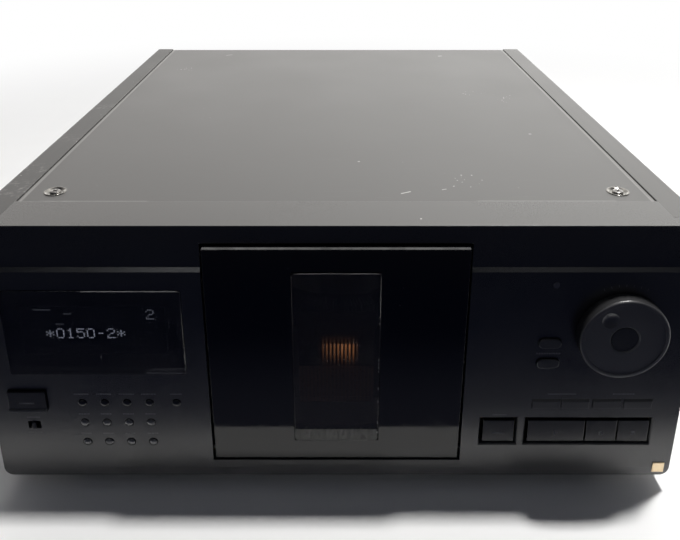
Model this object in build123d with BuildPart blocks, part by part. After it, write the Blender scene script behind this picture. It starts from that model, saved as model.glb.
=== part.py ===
from build123d import *
import math
import os

# A front-loading compact disc changer that keeps its discs upright in a turning carousel.
# Frame: +X to the right of someone facing it, +Y towards the rear, +Z up.
# The origin is at the middle of the footprint, on the surface that the feet stand on.
# Sizes are in millimetres. A "height" on the front is measured from the front panel's lower edge,
# and a "depth" from the front panel's front face, towards the rear.

# ---- case ----
case_width = 430.0
case_depth = 470.0  # front face to rear face
panel_height = 178.5
foot_height = 11.5
sheet = 1.2  # steel of the base, top, sides and rear
case_gap = 0.3  # between covers that meet
dial_projection = 9.0
jack_projection = 8.0

# ---- top, sides and feet ----
strip_width = 18.0  # top return of each side panel
top_plate_drop = 1.0  # the plate lies this much below the side returns
ledge_width = 27.0  # inner flange that carries the top plate
bend_radius = 2.0
lip_depth = 35.0  # the front panel's top lip reaches this far back
return_depth = 12.7  # the front panel's side, top and bottom returns
flange_height = 10.0  # upturned edges of the base
cup_rim_radius = 7.0
cup_seat_radius = 4.6
cup_thickness = 0.5
screw_shank_radius = 1.6
screw_head_radius = 3.4
screw_head_height = 1.5
screw_length = 6.0
screw_bore_clearance = 0.1
top_screw_x = 179.0
top_screw_depth = 52.0
foot_radius = 24.0
foot_taper = 2.0
foot_x = 166.0
foot_front = 34.0
foot_rear = 425.0

# ---- front panel ----
plate_thickness = 4.0
panel_wall = 3.0
bottom_corner_radius = 6.0
top_corner_radius = 2.0
edge_rounding = 0.6
band_height = 152.0  # the panel lies back above this height
band_recess = 1.6
band_slope = 2.6

# ---- door ----
door_width = 154.6
door_bottom = 14.8
door_top = 166.3
door_side_gap = 1.7
door_bottom_gap = 2.4
door_top_gap = 1.0
door_proud = 2.5  # at the top edge
door_taper = 2.2  # less proud by this much at the bottom edge
door_depth = 8.0  # overall, at the top edge
door_skin = 2.5
door_wall = 3.0
door_corner_radius = 0.8
door_rounding = 0.3
door_bevel_height = 0.9  # of the bevel along the top front edge
door_bevel_depth = 1.5
door_pivot_rise = 7.0  # pivot above the door's lower edge
door_pivot_depth = 2.5
door_pin_radius = 1.5
door_pin_length = 4.0
pin_clearance = 0.05
hinge_boss_width = 6.0
hinge_boss_depth = 6.0
hinge_boss_height = 22.0
window_width = 53.0
window_bottom = 28.8
window_top = 150.8
window_proud = 1.2
window_fit = 0.2
window_corner_radius = 3.0
window_bevel = 0.5
window_flange = 2.0
window_flange_thickness = 0.8
lens_width = 46.0
lens_bottom = 62.0
lens_top = 122.0
lens_thickness = 1.0
lens_rib_pitch = 2.3
lens_rib_width = 1.1
lens_rib_depth = 0.6
lamp_height = 4.0
lamp_depth = 0.8

# ---- display ----
display_width = 107.9
display_height = 58.8
display_x = -145.5
display_z = 107.9
display_proud = 0.8
display_fit = 0.15
display_corner_radius = 1.5
display_bevel = 0.4
display_flange = 2.0
display_flange_thickness = 1.2
tube_width = 88.0
tube_height = 34.0
tube_x = -146.0

# ---- keys ----
key_clearance = 0.3
key_travel = 1.0
flange_gap = 0.3
flange_thickness = 1.2
flange_lip = 1.2
stem_radius = 1.5
switch_gap = 0.2
switch_height = 2.0
switch_size = 6.0
board_front_depth = 11.2
board_thickness = 1.5
board_inset = 4.0  # inside the panel's walls
board_door_gap = 4.0  # from the door opening to the boards beside it
board_post_radius = 3.0

small_key_radius = 2.6
small_key_proud = 1.2
small_key_rounding = 0.8
small_key_columns = [-158.3, -144.4, -130.5, -116.5]
small_key_extra_column = -99.7
small_key_rows = [57.2, 42.2, 27.2]

oval_key_width = 14.0
oval_key_height = 6.8
oval_key_proud = 1.4
oval_key_rounding = 0.8
oval_key_x = 128.6
oval_key_heights = [101.2, 86.9]

flat_key_width = 17.4
flat_key_height = 6.6
flat_key_sunk = 0.5  # its upper edge lies below the panel's face
flat_key_slope = 1.3  # height of the slope under that edge
flat_key_slope_proud = 0.5
flat_key_proud = 0.6
flat_key_rounding = 0.25
flat_key_centres = [130.6, 148.5, 168.2, 187.6]
flat_key_z = 56.6

big_key_z = 35.95
big_key_height = 15.5
big_key_upper_proud = 0.2
big_key_lower_proud = 0.8
big_key_gap = 1.0
big_key_rounding = 0.4
big_key_lip = 3.4  # of the flange, past the opening's edges
big_key_surround = 1.6
surround_z = 35.4
surround_height = 19.8
surround_bevel = 0.9
open_key_x = 102.2
open_key_width = 19.6
play_key_left = 120.7
play_key_width = 35.8
pause_key_width = 19.2

power_key_x = -191.6
power_key_z = 59.4
power_key_width = 23.4
power_key_height = 14.4
power_key_proud = 2.2
power_lip_proud = 3.2
power_lip_height = 1.2
power_key_travel = 2.0
power_rounding = 0.3

timer_x = -190.2
timer_z = 40.4
timer_slot_width = 8.0
timer_slot_height = 5.6
timer_knob_width = 2.6
timer_travel = 2.2
timer_knob_proud = 1.0
timer_rounding = 0.3

# ---- dial ----
dial_x = 169.8
dial_z = 109.0
dial_radius = 26.6
dial_gap = 0.6
dial_rim = 1.4
dial_dish = 0.5
dial_shaft_radius = 12.5
dial_clearance = 0.1
dimple_orbit = 16.6
dimple_angle = 127.0
dimple_radius = 5.2
dimple_depth = 1.6
enter_radius = 8.0
enter_recess = 0.6
enter_clearance = 0.25
enter_rounding = 0.6
enter_bore_bevel = 0.9  # round the mouth of the dial's bore

sensor_x = 128.7
sensor_z = 140.8
sensor_radius = 2.0
sensor_proud = 0.5

# ---- carousel ----
slot_count = 200
gear_module = 2.0
rim_teeth = 198
pinion_teeth = 18
gear_dedendum = 2.5  # depth of the gaps below the pitch circle
gear_backlash = 0.35
gear_thickness = 6.0
gear_rim_width = 3.0
pressure_angle = 20.0
carousel_front_depth = 14.0  # the rim's teeth come this close to the front face
carousel_rise = 17.0  # tray above the base's underside
carousel_floor = 2.5
tray_bore_radius = 60.0
outer_rack_wall = 3.0
outer_rack_inner = 152.0
outer_fin_thickness = 2.2
inner_rack_inner = 66.0
inner_rack_wall = 2.5
inner_rack_outer = 84.0
inner_fin_thickness = 0.9
rack_height = 24.0
carousel_gap = 0.3

# ---- carousel bearing and drive ----
bearing_clearance = 0.08
bearing_wall = 7.0
bearing_flange_radius = 78.0
bearing_foot_radius = 70.0
bearing_plate = 3.0
bearing_rise = 14.0  # above the tray's underside
drive_angle = 125.0
drive_bore_clearance = 0.05
drive_shaft_radius = 2.5
drive_shaft_length = 14.0
motor_radius = 16.0
motor_height = 30.0
motor_gap = 3.0
motor_bracket_width = 20.0
motor_bracket_thickness = 3.0
motor_bracket_reach = 28.0

# ---- playing mechanism, in the middle of the carousel ----
deck_radius = 56.0
deck_thickness = 3.0
deck_wall_x = -12.0
deck_wall_thickness = 3.0
deck_wall_half_depth = 44.0
deck_wall_height = 119.0
deck_wall_corner = 8.0
disc_radius = 60.0
disc_thickness = 1.2
disc_hole_radius = 7.5
disc_clearance = 2.0  # under the disc, over the racks
spindle_motor_radius = 12.0
spindle_motor_length = 14.0
spindle_motor_rounding = 1.0
spindle_shaft_radius = 2.0
turntable_radius = 15.0
turntable_thickness = 2.4
hub_clearance = 0.3
hub_height = 2.2
rod_radius = 1.5
rod_half_spacing = 18.0
rod_standoff = 5.5
lug_height = 5.0
lug_depth = 8.0
lug_gap = 1.0
sled_height = 14.0
sled_thickness = 7.0
sled_margin = 3.5
sled_travel = 34.0
lens_barrel_radius = 4.0
lens_barrel_height = 1.2
clamp_pivot_x = 8.5
clamp_pivot_rise = 9.0
clamp_pin_radius = 1.8
clamp_arm_thickness = 3.0
clamp_arm_width = 16.0
clamp_boss_radius = 4.0
clamp_puck_radius = 13.0
clamp_puck_gap = 1.4
clamp_lug_width = 4.0
clamp_lug_depth = 9.0
arm_pivot_forward = 28.0  # ahead of the carousel's axis
arm_pivot_rise = 19.0
arm_length = 60.0
arm_width = 9.0
arm_thickness = 3.0
arm_pin_radius = 2.0
arm_x = -3.0

# ---- rear and inside ----
jack_x = 118.0
jack_spacing = 16.0
jack_radius = 4.15
jack_neck_radius = 3.7  # the shell is undercut where it comes through the panel
jack_neck_length = 0.5
jack_bore_radius = 1.7
jack_bore_depth = 7.0
jack_block_width = 38.0
jack_block_height = 18.0
jack_block_depth = 14.0
optical_x = 64.0
optical_size = 12.0
optical_projection = 2.0
optical_bore = 3.6
inlet_x = -168.0
inlet_z = 100.0
inlet_width = 26.0
inlet_height = 18.0
inlet_cavity_width = 18.4
inlet_cavity_height = 9.4
inlet_length = 20.0
inlet_cavity_depth = 16.0
inlet_flange = 3.0
inlet_flange_thickness = 1.5
inlet_pin_radius = 1.2
inlet_pin_spacing = 8.6
inlet_pin_length = 10.0
cutout_clearance = 0.2
transformer_x = -180.0
transformer_rear_gap = 14.0
transformer_width = 48.0
transformer_depth = 42.0
transformer_height = 46.0
coil_width = 30.0
coil_depth = 56.0
coil_height = 34.0
main_board_x = 116.0
main_board_width = 160.0
main_board_depth = 46.0
main_board_rise = 22.0
main_post_inset = 6.0
chip_sizes = [(-50.0, 24.0, 16.0), (-8.0, 18.0, 18.0), (30.0, 14.0, 10.0)]
chip_height = 2.4
vent_count = 9
vent_width = 3.0
vent_height = 34.0
vent_pitch = 9.0
vent_x = -72.0
vent_z = 96.0
rear_screw_inset = 8.0
rear_screw_radius = 3.0
rear_screw_height = 1.6

# ---- places worked out from the sizes above ----
total_depth = dial_projection + case_depth + jack_projection
front_y = dial_projection - total_depth / 2
rear_y = front_y + case_depth
base_z = foot_height
top_z = base_z + panel_height
plate_back = front_y + plate_thickness
case_front = front_y + return_depth + case_gap
floor_top = base_z + sheet
plate_top_z = top_z - top_plate_drop
ledge_top_z = plate_top_z - sheet
half_case = case_width / 2
strip_x = half_case - strip_width
ledge_x = strip_x - ledge_width
rear_inner_y = rear_y - sheet

door_height = door_top - door_bottom
pivot_y = front_y + door_pivot_depth
pivot_z = base_z + door_bottom + door_pivot_rise
door_back_y = front_y - door_proud + door_depth
opening_half_width = door_width / 2 + door_side_gap
opening_bottom = door_bottom - door_bottom_gap
opening_top = door_top + door_top_gap

flange_front_y = plate_back + flange_gap
flange_back_y = flange_front_y + flange_thickness
board_y = front_y + board_front_depth
switch_y = board_y - switch_height

tray_z = base_z + carousel_rise
tray_top = tray_z + carousel_floor
rack_top = tray_top + rack_height
carousel_tip_radius = gear_module * (rim_teeth / 2 + 1)
carousel_y = front_y + carousel_front_depth + carousel_tip_radius
bearing_radius = tray_bore_radius - bearing_clearance
bearing_top = tray_z + bearing_rise
drive_distance = gear_module * (rim_teeth + pinion_teeth) / 2
drive_x = drive_distance * math.cos(math.radians(drive_angle))
drive_y = carousel_y + drive_distance * math.sin(math.radians(drive_angle))

deck_top = bearing_top + deck_thickness
wall_back_x = deck_wall_x - deck_wall_thickness
spindle_z = rack_top + disc_clearance + disc_radius
turntable_x = -disc_thickness / 2
rod_x = deck_wall_x + rod_standoff
sled_top = spindle_z - turntable_radius - lug_gap
clamp_pivot_z = deck_top + clamp_pivot_rise
arm_pivot_y = carousel_y - arm_pivot_forward
arm_pivot_z = deck_top + arm_pivot_rise

small_keys = [(x, small_key_rows[0]) for x in small_key_columns + [small_key_extra_column]]
small_keys += [(x, z) for z in small_key_rows[1:] for x in small_key_columns]
flat_names = ["skip_back_key", "skip_forward_key", "scan_back_key", "scan_forward_key"]
pause_key_left = play_key_left + play_key_width + big_key_gap
stop_key_left = pause_key_left + pause_key_width + big_key_gap
big_keys = {
    "open_button": (open_key_x, open_key_width),
    "play_button": (play_key_left + play_key_width / 2, play_key_width),
    "pause_button": (pause_key_left + pause_key_width / 2, pause_key_width),
    "stop_button": (stop_key_left + pause_key_width / 2, pause_key_width),
}
transport_width = stop_key_left + pause_key_width - play_key_left
surrounds = [
    (open_key_x, open_key_width + 2 * big_key_surround),
    (play_key_left + transport_width / 2, transport_width + 2 * big_key_surround),
]

os.makedirs("parts", exist_ok=True)


def from_front(depth_y):
    """A sketch plane at this y, seen from the front: x to the right, z up, extruded towards the viewer."""
    return Plane(origin=(0, depth_y, 0), x_dir=(1, 0, 0), z_dir=(0, -1, 0))


def from_front_at(x, height, depth_y):
    """The same, with its own origin at a place on the front."""
    return Plane(origin=(x, depth_y, base_z + height), x_dir=(1, 0, 0), z_dir=(0, -1, 0))


def from_side(x):
    """A sketch plane at this x: its x runs to the rear, its y runs up, and it is extruded to the right."""
    return Plane(origin=(x, 0, 0), x_dir=(0, 1, 0), z_dir=(1, 0, 0))


def keep(name, part):
    """Labels a finished piece and writes it."""
    part.label = name
    export_step(part, f"parts/{name}.step")


def keep_group(name, solids):
    """Labels a group of separate solids that share one node, and writes it."""
    keep(name, Compound(children=list(solids)))


def stem_end(travel):
    """Where a key's stem ends when the key is out, so that its full travel just works the switch."""
    return switch_y - switch_gap - travel


# ================================================================ keys
def moulded_key(x, height, width, outline, travel, rounding, lips):
    """A key whose front follows an outline of (rise, proud) points from its top to its bottom edge."""
    centre_z = base_z + height
    half_tall = outline[0][0]
    front = [(front_y - proud, centre_z + rise) for rise, proud in outline]
    side_lip, upright_lip = lips
    with BuildPart() as key:
        with BuildSketch(from_side(x - width / 2)):
            with BuildLine():
                back = [(flange_front_y, centre_z - half_tall), (flange_front_y, centre_z + half_tall)]
                Polyline(*front, *back, close=True)
            make_face()
        extrude(amount=width)
        rim = [edge for edge in key.edges() if edge.center().Y < front_y + flat_key_sunk]
        fillet(rim, rounding)
        with BuildSketch(from_front_at(x, height, flange_back_y)):
            Rectangle(width + 2 * side_lip, 2 * (half_tall + upright_lip))
        extrude(amount=flange_thickness)
        with BuildSketch(from_front_at(x, height, stem_end(travel))):
            Circle(stem_radius)
        extrude(amount=stem_end(travel) - flange_back_y)
    return key.part


def pressed_key(x, height, outline, flange_outline, proud, rounding):
    """A round or oval key from the sketches of its cap and of its flange."""
    with BuildPart() as key:
        with BuildSketch(from_front_at(x, height, flange_front_y)):
            add(outline)
        extrude(amount=flange_front_y - front_y + proud)
        fillet(key.faces().sort_by(Axis.Y)[0].edges(), rounding)
        with BuildSketch(from_front_at(x, height, flange_back_y)):
            add(flange_outline)
        extrude(amount=flange_thickness)
        with BuildSketch(from_front_at(x, height, stem_end(key_travel))):
            Circle(stem_radius)
        extrude(amount=stem_end(key_travel) - flange_back_y)
    return key.part


with BuildSketch() as small_cap:
    Circle(small_key_radius)
with BuildSketch() as small_flange:
    Circle(small_key_radius + flange_lip)
for number, (x, height) in enumerate(small_keys, start=1):
    key = pressed_key(x, height, small_cap.sketch, small_flange.sketch, small_key_proud, small_key_rounding)
    keep(f"small_key_{number}", key)

with BuildSketch() as oval_cap:
    SlotOverall(oval_key_width, oval_key_height)
with BuildSketch() as oval_flange:
    SlotOverall(oval_key_width + 2 * flange_lip, oval_key_height + 2 * flange_lip)
for name, height in zip(["upper_oval_key", "lower_oval_key"], oval_key_heights):
    key = pressed_key(
        oval_key_x, height, oval_cap.sketch, oval_flange.sketch, oval_key_proud, oval_key_rounding
    )
    keep(name, key)

flat_outline = [
    (flat_key_height / 2, -flat_key_sunk),
    (flat_key_height / 2 - flat_key_slope, flat_key_slope_proud),
    (-flat_key_height / 2, flat_key_proud),
]
for name, x in zip(flat_names, flat_key_centres):
    key = moulded_key(
        x, flat_key_z, flat_key_width, flat_outline, key_travel, flat_key_rounding, (0.0, flange_lip)
    )
    keep(name, key)

big_outline = [(big_key_height / 2, big_key_upper_proud), (-big_key_height / 2, big_key_lower_proud)]
for name, (x, width) in big_keys.items():
    key = moulded_key(x, big_key_z, width, big_outline, key_travel, big_key_rounding, (0.0, big_key_lip))
    keep(name, key)

power_half = power_key_height / 2
power_outline = [
    (power_half, power_key_proud),
    (-power_half + 2 * power_lip_height, power_key_proud),
    (-power_half + power_lip_height, power_lip_proud),
    (-power_half, power_lip_proud),
]
power_button = moulded_key(
    power_key_x, power_key_z, power_key_width, power_outline, power_key_travel, power_rounding,
    (flange_lip, flange_lip),
)
keep("power_button", power_button)

# timer switch: a knob in a slot, on a plate that slides behind the panel
timer_plate_width = timer_slot_width + 2 * timer_travel + flange_lip
with BuildPart() as timer_switch:
    with BuildSketch(from_front_at(timer_x, timer_z, flange_back_y)):
        Rectangle(timer_plate_width, timer_slot_height + 2 * flange_lip)
    extrude(amount=flange_thickness)
    with BuildSketch(from_front_at(timer_x, timer_z, flange_front_y)):
        Rectangle(timer_knob_width, timer_slot_height - 2 * key_clearance)
    extrude(amount=flange_front_y - front_y + timer_knob_proud)
    fillet(timer_switch.faces().sort_by(Axis.Y)[0].edges(), timer_rounding)
keep("timer_switch", timer_switch.part)

# ================================================================ dial and its centre button
dial_back_y = front_y - dial_gap
dial_front_y = front_y - dial_projection
dish_y = dial_front_y + dial_dish
with BuildPart() as jog_dial:
    with BuildSketch(from_front_at(dial_x, dial_z, dial_back_y)):
        Circle(dial_radius)
    extrude(amount=dial_back_y - dial_front_y)
    fillet(jog_dial.faces().sort_by(Axis.Y)[0].edges(), dial_rim)
    with BuildSketch(from_front_at(dial_x, dial_z, flange_back_y)):
        Circle(dial_shaft_radius)
    extrude(amount=flange_back_y - dial_back_y)
    with BuildSketch(from_front_at(dial_x, dial_z, flange_back_y)):
        Circle(dial_shaft_radius + flange_lip)
    extrude(amount=flange_thickness)
    # shallow dish of the face, inside the rim
    with BuildSketch(from_front_at(dial_x, dial_z, dish_y)):
        Circle(dial_radius - 2 * dial_rim)
    extrude(amount=dial_dish, mode=Mode.SUBTRACT)
    # through bore for the centre button
    with BuildSketch(from_front_at(dial_x, dial_z, flange_back_y)):
        Circle(enter_radius + enter_clearance)
    extrude(amount=flange_back_y - dial_front_y, mode=Mode.SUBTRACT)
    bore_rings = jog_dial.edges().filter_by(GeomType.CIRCLE).filter_by(
        lambda edge: enter_radius < edge.radius < dial_shaft_radius
    )
    chamfer(bore_rings.sort_by(Axis.Y)[0], enter_bore_bevel)
    # finger dimple: the cap of a ball sunk into the face
    ball_radius = (dimple_radius**2 + dimple_depth**2) / (2 * dimple_depth)
    dimple_x = dial_x + dimple_orbit * math.cos(math.radians(dimple_angle))
    dimple_z = base_z + dial_z + dimple_orbit * math.sin(math.radians(dimple_angle))
    with Locations((dimple_x, dish_y + dimple_depth - ball_radius, dimple_z)):
        Sphere(ball_radius, mode=Mode.SUBTRACT)
keep("jog_dial", jog_dial.part)

enter_front_y = dish_y + enter_recess
with BuildPart() as enter_button:
    enter_flange_y = flange_back_y + flange_gap
    with BuildSketch(from_front_at(dial_x, dial_z, enter_flange_y)):
        Circle(enter_radius)
    extrude(amount=enter_flange_y - enter_front_y)
    fillet(enter_button.faces().sort_by(Axis.Y)[0].edges(), enter_rounding)
    with BuildSketch(from_front_at(dial_x, dial_z, enter_flange_y + flange_thickness)):
        Circle(enter_radius + flange_lip)
    extrude(amount=flange_thickness)
    with BuildSketch(from_front_at(dial_x, dial_z, stem_end(key_travel))):
        Circle(stem_radius)
    extrude(amount=stem_end(key_travel) - enter_flange_y)
keep("enter_button", enter_button.part)

# ================================================================ front panel
lip_thickness = top_plate_drop + sheet
with BuildPart() as front_panel:
    with BuildSketch(from_front(front_y + return_depth)):
        with Locations((0, base_z + panel_height / 2)):
            Rectangle(case_width, panel_height)
    extrude(amount=return_depth)
    fillet(front_panel.edges().filter_by(Axis.Y).group_by(Axis.Z)[0], bottom_corner_radius)
    fillet(front_panel.edges().filter_by(Axis.Y).group_by(Axis.Z)[-1], top_corner_radius)
    # hollow behind the face plate
    with BuildSketch(from_front(front_y + return_depth)):
        with Locations((0, base_z + panel_height / 2)):
            RectangleRounded(case_width - 2 * panel_wall, panel_height - 2 * panel_wall, panel_wall)
    extrude(amount=return_depth - plate_thickness, mode=Mode.SUBTRACT)
    # the upper band lies back, behind a sloping ledge
    ledge_low_z = base_z + band_height - band_slope
    with BuildSketch(from_side(-case_width)):
        with BuildLine():
            Polyline(
                (front_y - band_recess, ledge_low_z),
                (front_y, ledge_low_z),
                (front_y + band_recess, base_z + band_height),
                (front_y + band_recess, top_z + band_recess),
                (front_y - band_recess, top_z + band_recess),
                close=True,
            )
        make_face()
    extrude(amount=2 * case_width, mode=Mode.SUBTRACT)
    fillet(front_panel.faces().sort_by(Axis.Y)[0].edges().filter_by(Axis.X).sort_by(Axis.Z)[0], edge_rounding)
    # top lip in the middle, ahead of the top plate
    with BuildSketch(from_front(front_y + lip_depth)):
        with Locations((0, top_z - lip_thickness / 2)):
            Rectangle(2 * strip_x, lip_thickness)
    extrude(amount=lip_depth - plate_thickness)
    # hinge bosses beside the door opening
    boss_x = opening_half_width + hinge_boss_width / 2
    with BuildSketch(from_front(plate_back + hinge_boss_depth)):
        with Locations((-boss_x, pivot_z), (boss_x, pivot_z)):
            Rectangle(hinge_boss_width, hinge_boss_height)
    extrude(amount=hinge_boss_depth)
    # posts that carry the circuit board
    post_x = half_case - panel_wall - board_inset - board_post_radius
    inner_post_x = opening_half_width + board_door_gap + board_post_radius
    post_low = panel_wall + board_inset + board_post_radius
    post_high = band_height - board_post_radius
    right_posts = [(post_x, post_low), (post_x, post_high), (inner_post_x, post_high)]
    posts = right_posts + [(-x, height) for x, height in right_posts]
    with BuildSketch(from_front(board_y)):
        with Locations(*[(x, base_z + height) for x, height in posts]):
            Circle(board_post_radius)
    extrude(amount=board_y - plate_back)
    # openings for the door, the display and the keys
    with BuildSketch(from_front(front_y + return_depth)):
        with Locations((0, base_z + (opening_bottom + opening_top) / 2)):
            Rectangle(2 * opening_half_width, opening_top - opening_bottom)
        with Locations((display_x, base_z + display_z)):
            RectangleRounded(display_width, display_height, display_corner_radius)
        with Locations(*[(x, base_z + height) for x, height in small_keys]):
            Circle(small_key_radius + key_clearance)
        with Locations(*[(oval_key_x, base_z + height) for height in oval_key_heights]):
            SlotOverall(oval_key_width + 2 * key_clearance, oval_key_height + 2 * key_clearance)
        with Locations(*[(x, base_z + flat_key_z) for x in flat_key_centres]):
            Rectangle(flat_key_width + 2 * key_clearance, flat_key_height + 2 * key_clearance)
        for x, width in surrounds:
            with Locations((x, base_z + surround_z)):
                Rectangle(width, surround_height)
        with Locations((power_key_x, base_z + power_key_z)):
            Rectangle(power_key_width + 2 * key_clearance, power_key_height + 2 * key_clearance)
        with Locations((timer_x, base_z + timer_z)):
            Rectangle(timer_slot_width, timer_slot_height)
        with Locations((dial_x, base_z + dial_z)):
            Circle(dial_shaft_radius + dial_clearance)
        with Locations((sensor_x, base_z + sensor_z)):
            Circle(sensor_radius)
    extrude(amount=2 * return_depth, mode=Mode.SUBTRACT)
    # bevels round the big keys
    for x, width in surrounds:
        half_wide = width / 2 + edge_rounding
        half_tall = surround_height / 2 + edge_rounding
        middle_z = base_z + surround_z
        around = front_panel.faces().sort_by(Axis.Y)[0].edges()
        around = around.filter_by(lambda edge: edge.length < width + edge_rounding)
        around = around.filter_by_position(Axis.X, x - half_wide, x + half_wide)
        chamfer(around.filter_by_position(Axis.Z, middle_z - half_tall, middle_z + half_tall), surround_bevel)
    # pivot holes for the door's pins
    for start in (-opening_half_width - door_pin_length, opening_half_width):
        with BuildSketch(from_side(start)):
            with Locations((pivot_y, pivot_z)):
                Circle(door_pin_radius + pin_clearance)
        extrude(amount=door_pin_length, mode=Mode.SUBTRACT)
keep("front_panel", front_panel.part)

# smoked window over the display, held by a flange behind the panel
display_back_y = plate_back + display_flange_thickness
with BuildPart() as display_window:
    with BuildSketch(from_front_at(display_x, display_z, plate_back)):
        RectangleRounded(
            display_width - 2 * display_fit, display_height - 2 * display_fit, display_corner_radius
        )
    extrude(amount=plate_thickness + display_proud)
    chamfer(display_window.faces().sort_by(Axis.Y)[0].edges(), display_bevel)
    with BuildSketch(from_front_at(display_x, display_z, display_back_y)):
        Rectangle(display_width + 2 * display_flange, display_height + 2 * display_flange)
    extrude(amount=display_flange_thickness)
keep("display_window", display_window.part)

with BuildPart() as display_tube:
    with BuildSketch(from_front_at(tube_x, display_z, board_y)):
        Rectangle(tube_width, tube_height)
    extrude(amount=board_y - display_back_y)
keep("display_tube", display_tube.part)

with BuildPart() as sensor_window:
    with BuildSketch(from_front_at(sensor_x, sensor_z, board_y)):
        Circle(sensor_radius)
    extrude(amount=board_front_depth + sensor_proud)
    fillet(sensor_window.faces().sort_by(Axis.Y)[0].edges(), sensor_proud)
keep("sensor_window", sensor_window.part)

# circuit boards behind the panel: one at each side, and a narrow one between them under the door opening
board_outer_x = half_case - panel_wall - board_inset
board_low = panel_wall + board_inset
board_inner_x = opening_half_width + board_door_gap
strip_top = opening_bottom - board_thickness
board_layout = [(0.0, 2 * (board_inner_x - case_gap), strip_top)]
board_layout += [
    (side * (board_outer_x + board_inner_x) / 2, board_outer_x - board_inner_x, band_height)
    for side in (-1, 1)
]
control_boards = []
for x, width, high in board_layout:
    with BuildPart() as control_board:
        with BuildSketch(from_front_at(x, (board_low + high) / 2, board_y + board_thickness)):
            Rectangle(width, high - board_low)
        extrude(amount=board_thickness)
    control_boards.append(control_board.part)
switch_places = small_keys + [(oval_key_x, height) for height in oval_key_heights]
switch_places += [(x, flat_key_z) for x in flat_key_centres] + [(x, big_key_z) for x, _ in big_keys.values()]
switch_places += [(power_key_x, power_key_z), (dial_x, dial_z)]
switches = []
for x, height in switch_places:
    with BuildPart() as switch:
        with BuildSketch(from_front_at(x, height, board_y)):
            Rectangle(switch_size, switch_size)
        extrude(amount=switch_height)
    switches.append(switch.part)
keep_group("front_circuit_board", control_boards + switches)

# ================================================================ door
def door_y(height, depth):
    """The y of a surface that lies this far behind the door's sloping front face, at this height."""
    share = (door_top - height) / door_height
    return front_y - door_proud + door_taper * share + depth


def door_slab(low, high, front_depth, back_depth, width, x=0.0):
    """A slab that follows the door's slope, between two heights and two depths."""
    with BuildPart() as slab:
        with BuildSketch(from_side(x - width / 2)):
            with BuildLine():
                Polyline(
                    (door_y(low, front_depth), base_z + low),
                    (door_y(high, front_depth), base_z + high),
                    (door_y(high, back_depth), base_z + high),
                    (door_y(low, back_depth), base_z + low),
                    close=True,
                )
            make_face()
        extrude(amount=width)
    return slab.part


pan_bottom = door_bottom + door_wall
pan_top = door_top - door_wall
pan_width = door_width - 2 * door_wall
pan_cut = door_slab(pan_bottom, pan_top, door_skin, 2 * door_depth, pan_width)
window_hole = door_slab(window_bottom, window_top, -door_skin, 2 * door_skin, window_width)
door_bevel_foot = door_top - door_bevel_height
with BuildPart() as door_panel:
    with BuildSketch(from_side(-door_width / 2)):
        with BuildLine():
            Polyline(
                (door_y(door_bottom, 0), base_z + door_bottom),
                (door_y(door_bevel_foot, 0), base_z + door_bevel_foot),
                (door_y(door_top, door_bevel_depth), base_z + door_top),
                (door_y(door_top, door_depth), base_z + door_top),
                (door_y(door_bottom, door_depth), base_z + door_bottom),
                close=True,
            )
        make_face()
    extrude(amount=door_width)
    with BuildSketch(from_front(rear_y)):
        with Locations((0, base_z + door_bottom + door_height / 2)):
            Rectangle(2 * door_width, 2 * door_height)
    extrude(amount=rear_y - door_back_y, mode=Mode.SUBTRACT)
    fillet(door_panel.edges().filter_by(Axis.Y).group_by(Axis.Z)[-1], door_corner_radius)
    add(pan_cut, mode=Mode.SUBTRACT)
    add(window_hole, mode=Mode.SUBTRACT)
    outer_edges = door_panel.edges().filter_by(lambda edge: abs(edge.center().X) > window_width)
    fillet(outer_edges.filter_by(lambda edge: edge.center().Y < front_y), door_rounding)
    for side, start in ((-1, -door_width / 2 - door_pin_length), (1, door_width / 2)):
        with BuildSketch(from_side(start)):
            with Locations((pivot_y, pivot_z)):
                Circle(door_pin_radius)
        extrude(amount=door_pin_length)
keep("door_panel", door_panel.part)

glass_low = window_bottom + window_fit
glass_high = window_top - window_fit
flange_width = window_width + 2 * window_flange
flange_depth = door_skin + window_flange_thickness
glass = door_slab(glass_low, glass_high, -window_proud, door_skin, window_width - 2 * window_fit)
glass_flange = door_slab(
    window_bottom - window_flange, window_top + window_flange, door_skin, flange_depth, flange_width
)
with BuildPart() as door_window:
    add(glass)
    fillet(door_window.edges().filter_by(Axis.Y), window_corner_radius)
    chamfer(door_window.faces().sort_by(Axis.Y)[0].edges(), window_bevel)
    add(glass_flange)
keep("door_window", door_window.part)

# ribbed amber lens and its lamp strip, behind the window
lens_back_depth = flange_depth + lens_thickness
rib_count = int(lens_width / lens_rib_pitch)
lens_plate = door_slab(lens_bottom, lens_top, flange_depth, lens_back_depth, lens_width)
rib_back_depth = lens_back_depth + lens_rib_depth
ribs = []
for number in range(rib_count):
    rib_x = (number - (rib_count - 1) / 2) * lens_rib_pitch
    ribs.append(door_slab(lens_bottom, lens_top, lens_back_depth, rib_back_depth, lens_rib_width, rib_x))
with BuildPart() as lens:
    add(lens_plate)
    for rib in ribs:
        add(rib)
lamp_back_depth = lens_back_depth + lamp_depth
lamp_strip = door_slab(lens_bottom - lamp_height, lens_bottom, flange_depth, lamp_back_depth, lens_width)
keep_group("window_lamp", [lens.part, lamp_strip])

# ================================================================ case
with BuildPart() as base_chassis:
    pan_half_width = half_case - sheet - case_gap
    pan_depth = rear_inner_y - case_front
    with BuildSketch(Plane.XY.offset(base_z)):
        with Locations((0, case_front + pan_depth / 2)):
            Rectangle(2 * pan_half_width, pan_depth)
    extrude(amount=flange_height)
    with BuildSketch(Plane.XY.offset(floor_top)):
        with Locations((0, case_front + pan_depth / 2)):
            Rectangle(2 * (pan_half_width - sheet), pan_depth - 2 * sheet)
    extrude(amount=flange_height, mode=Mode.SUBTRACT)
keep("base_chassis", base_chassis.part)


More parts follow.
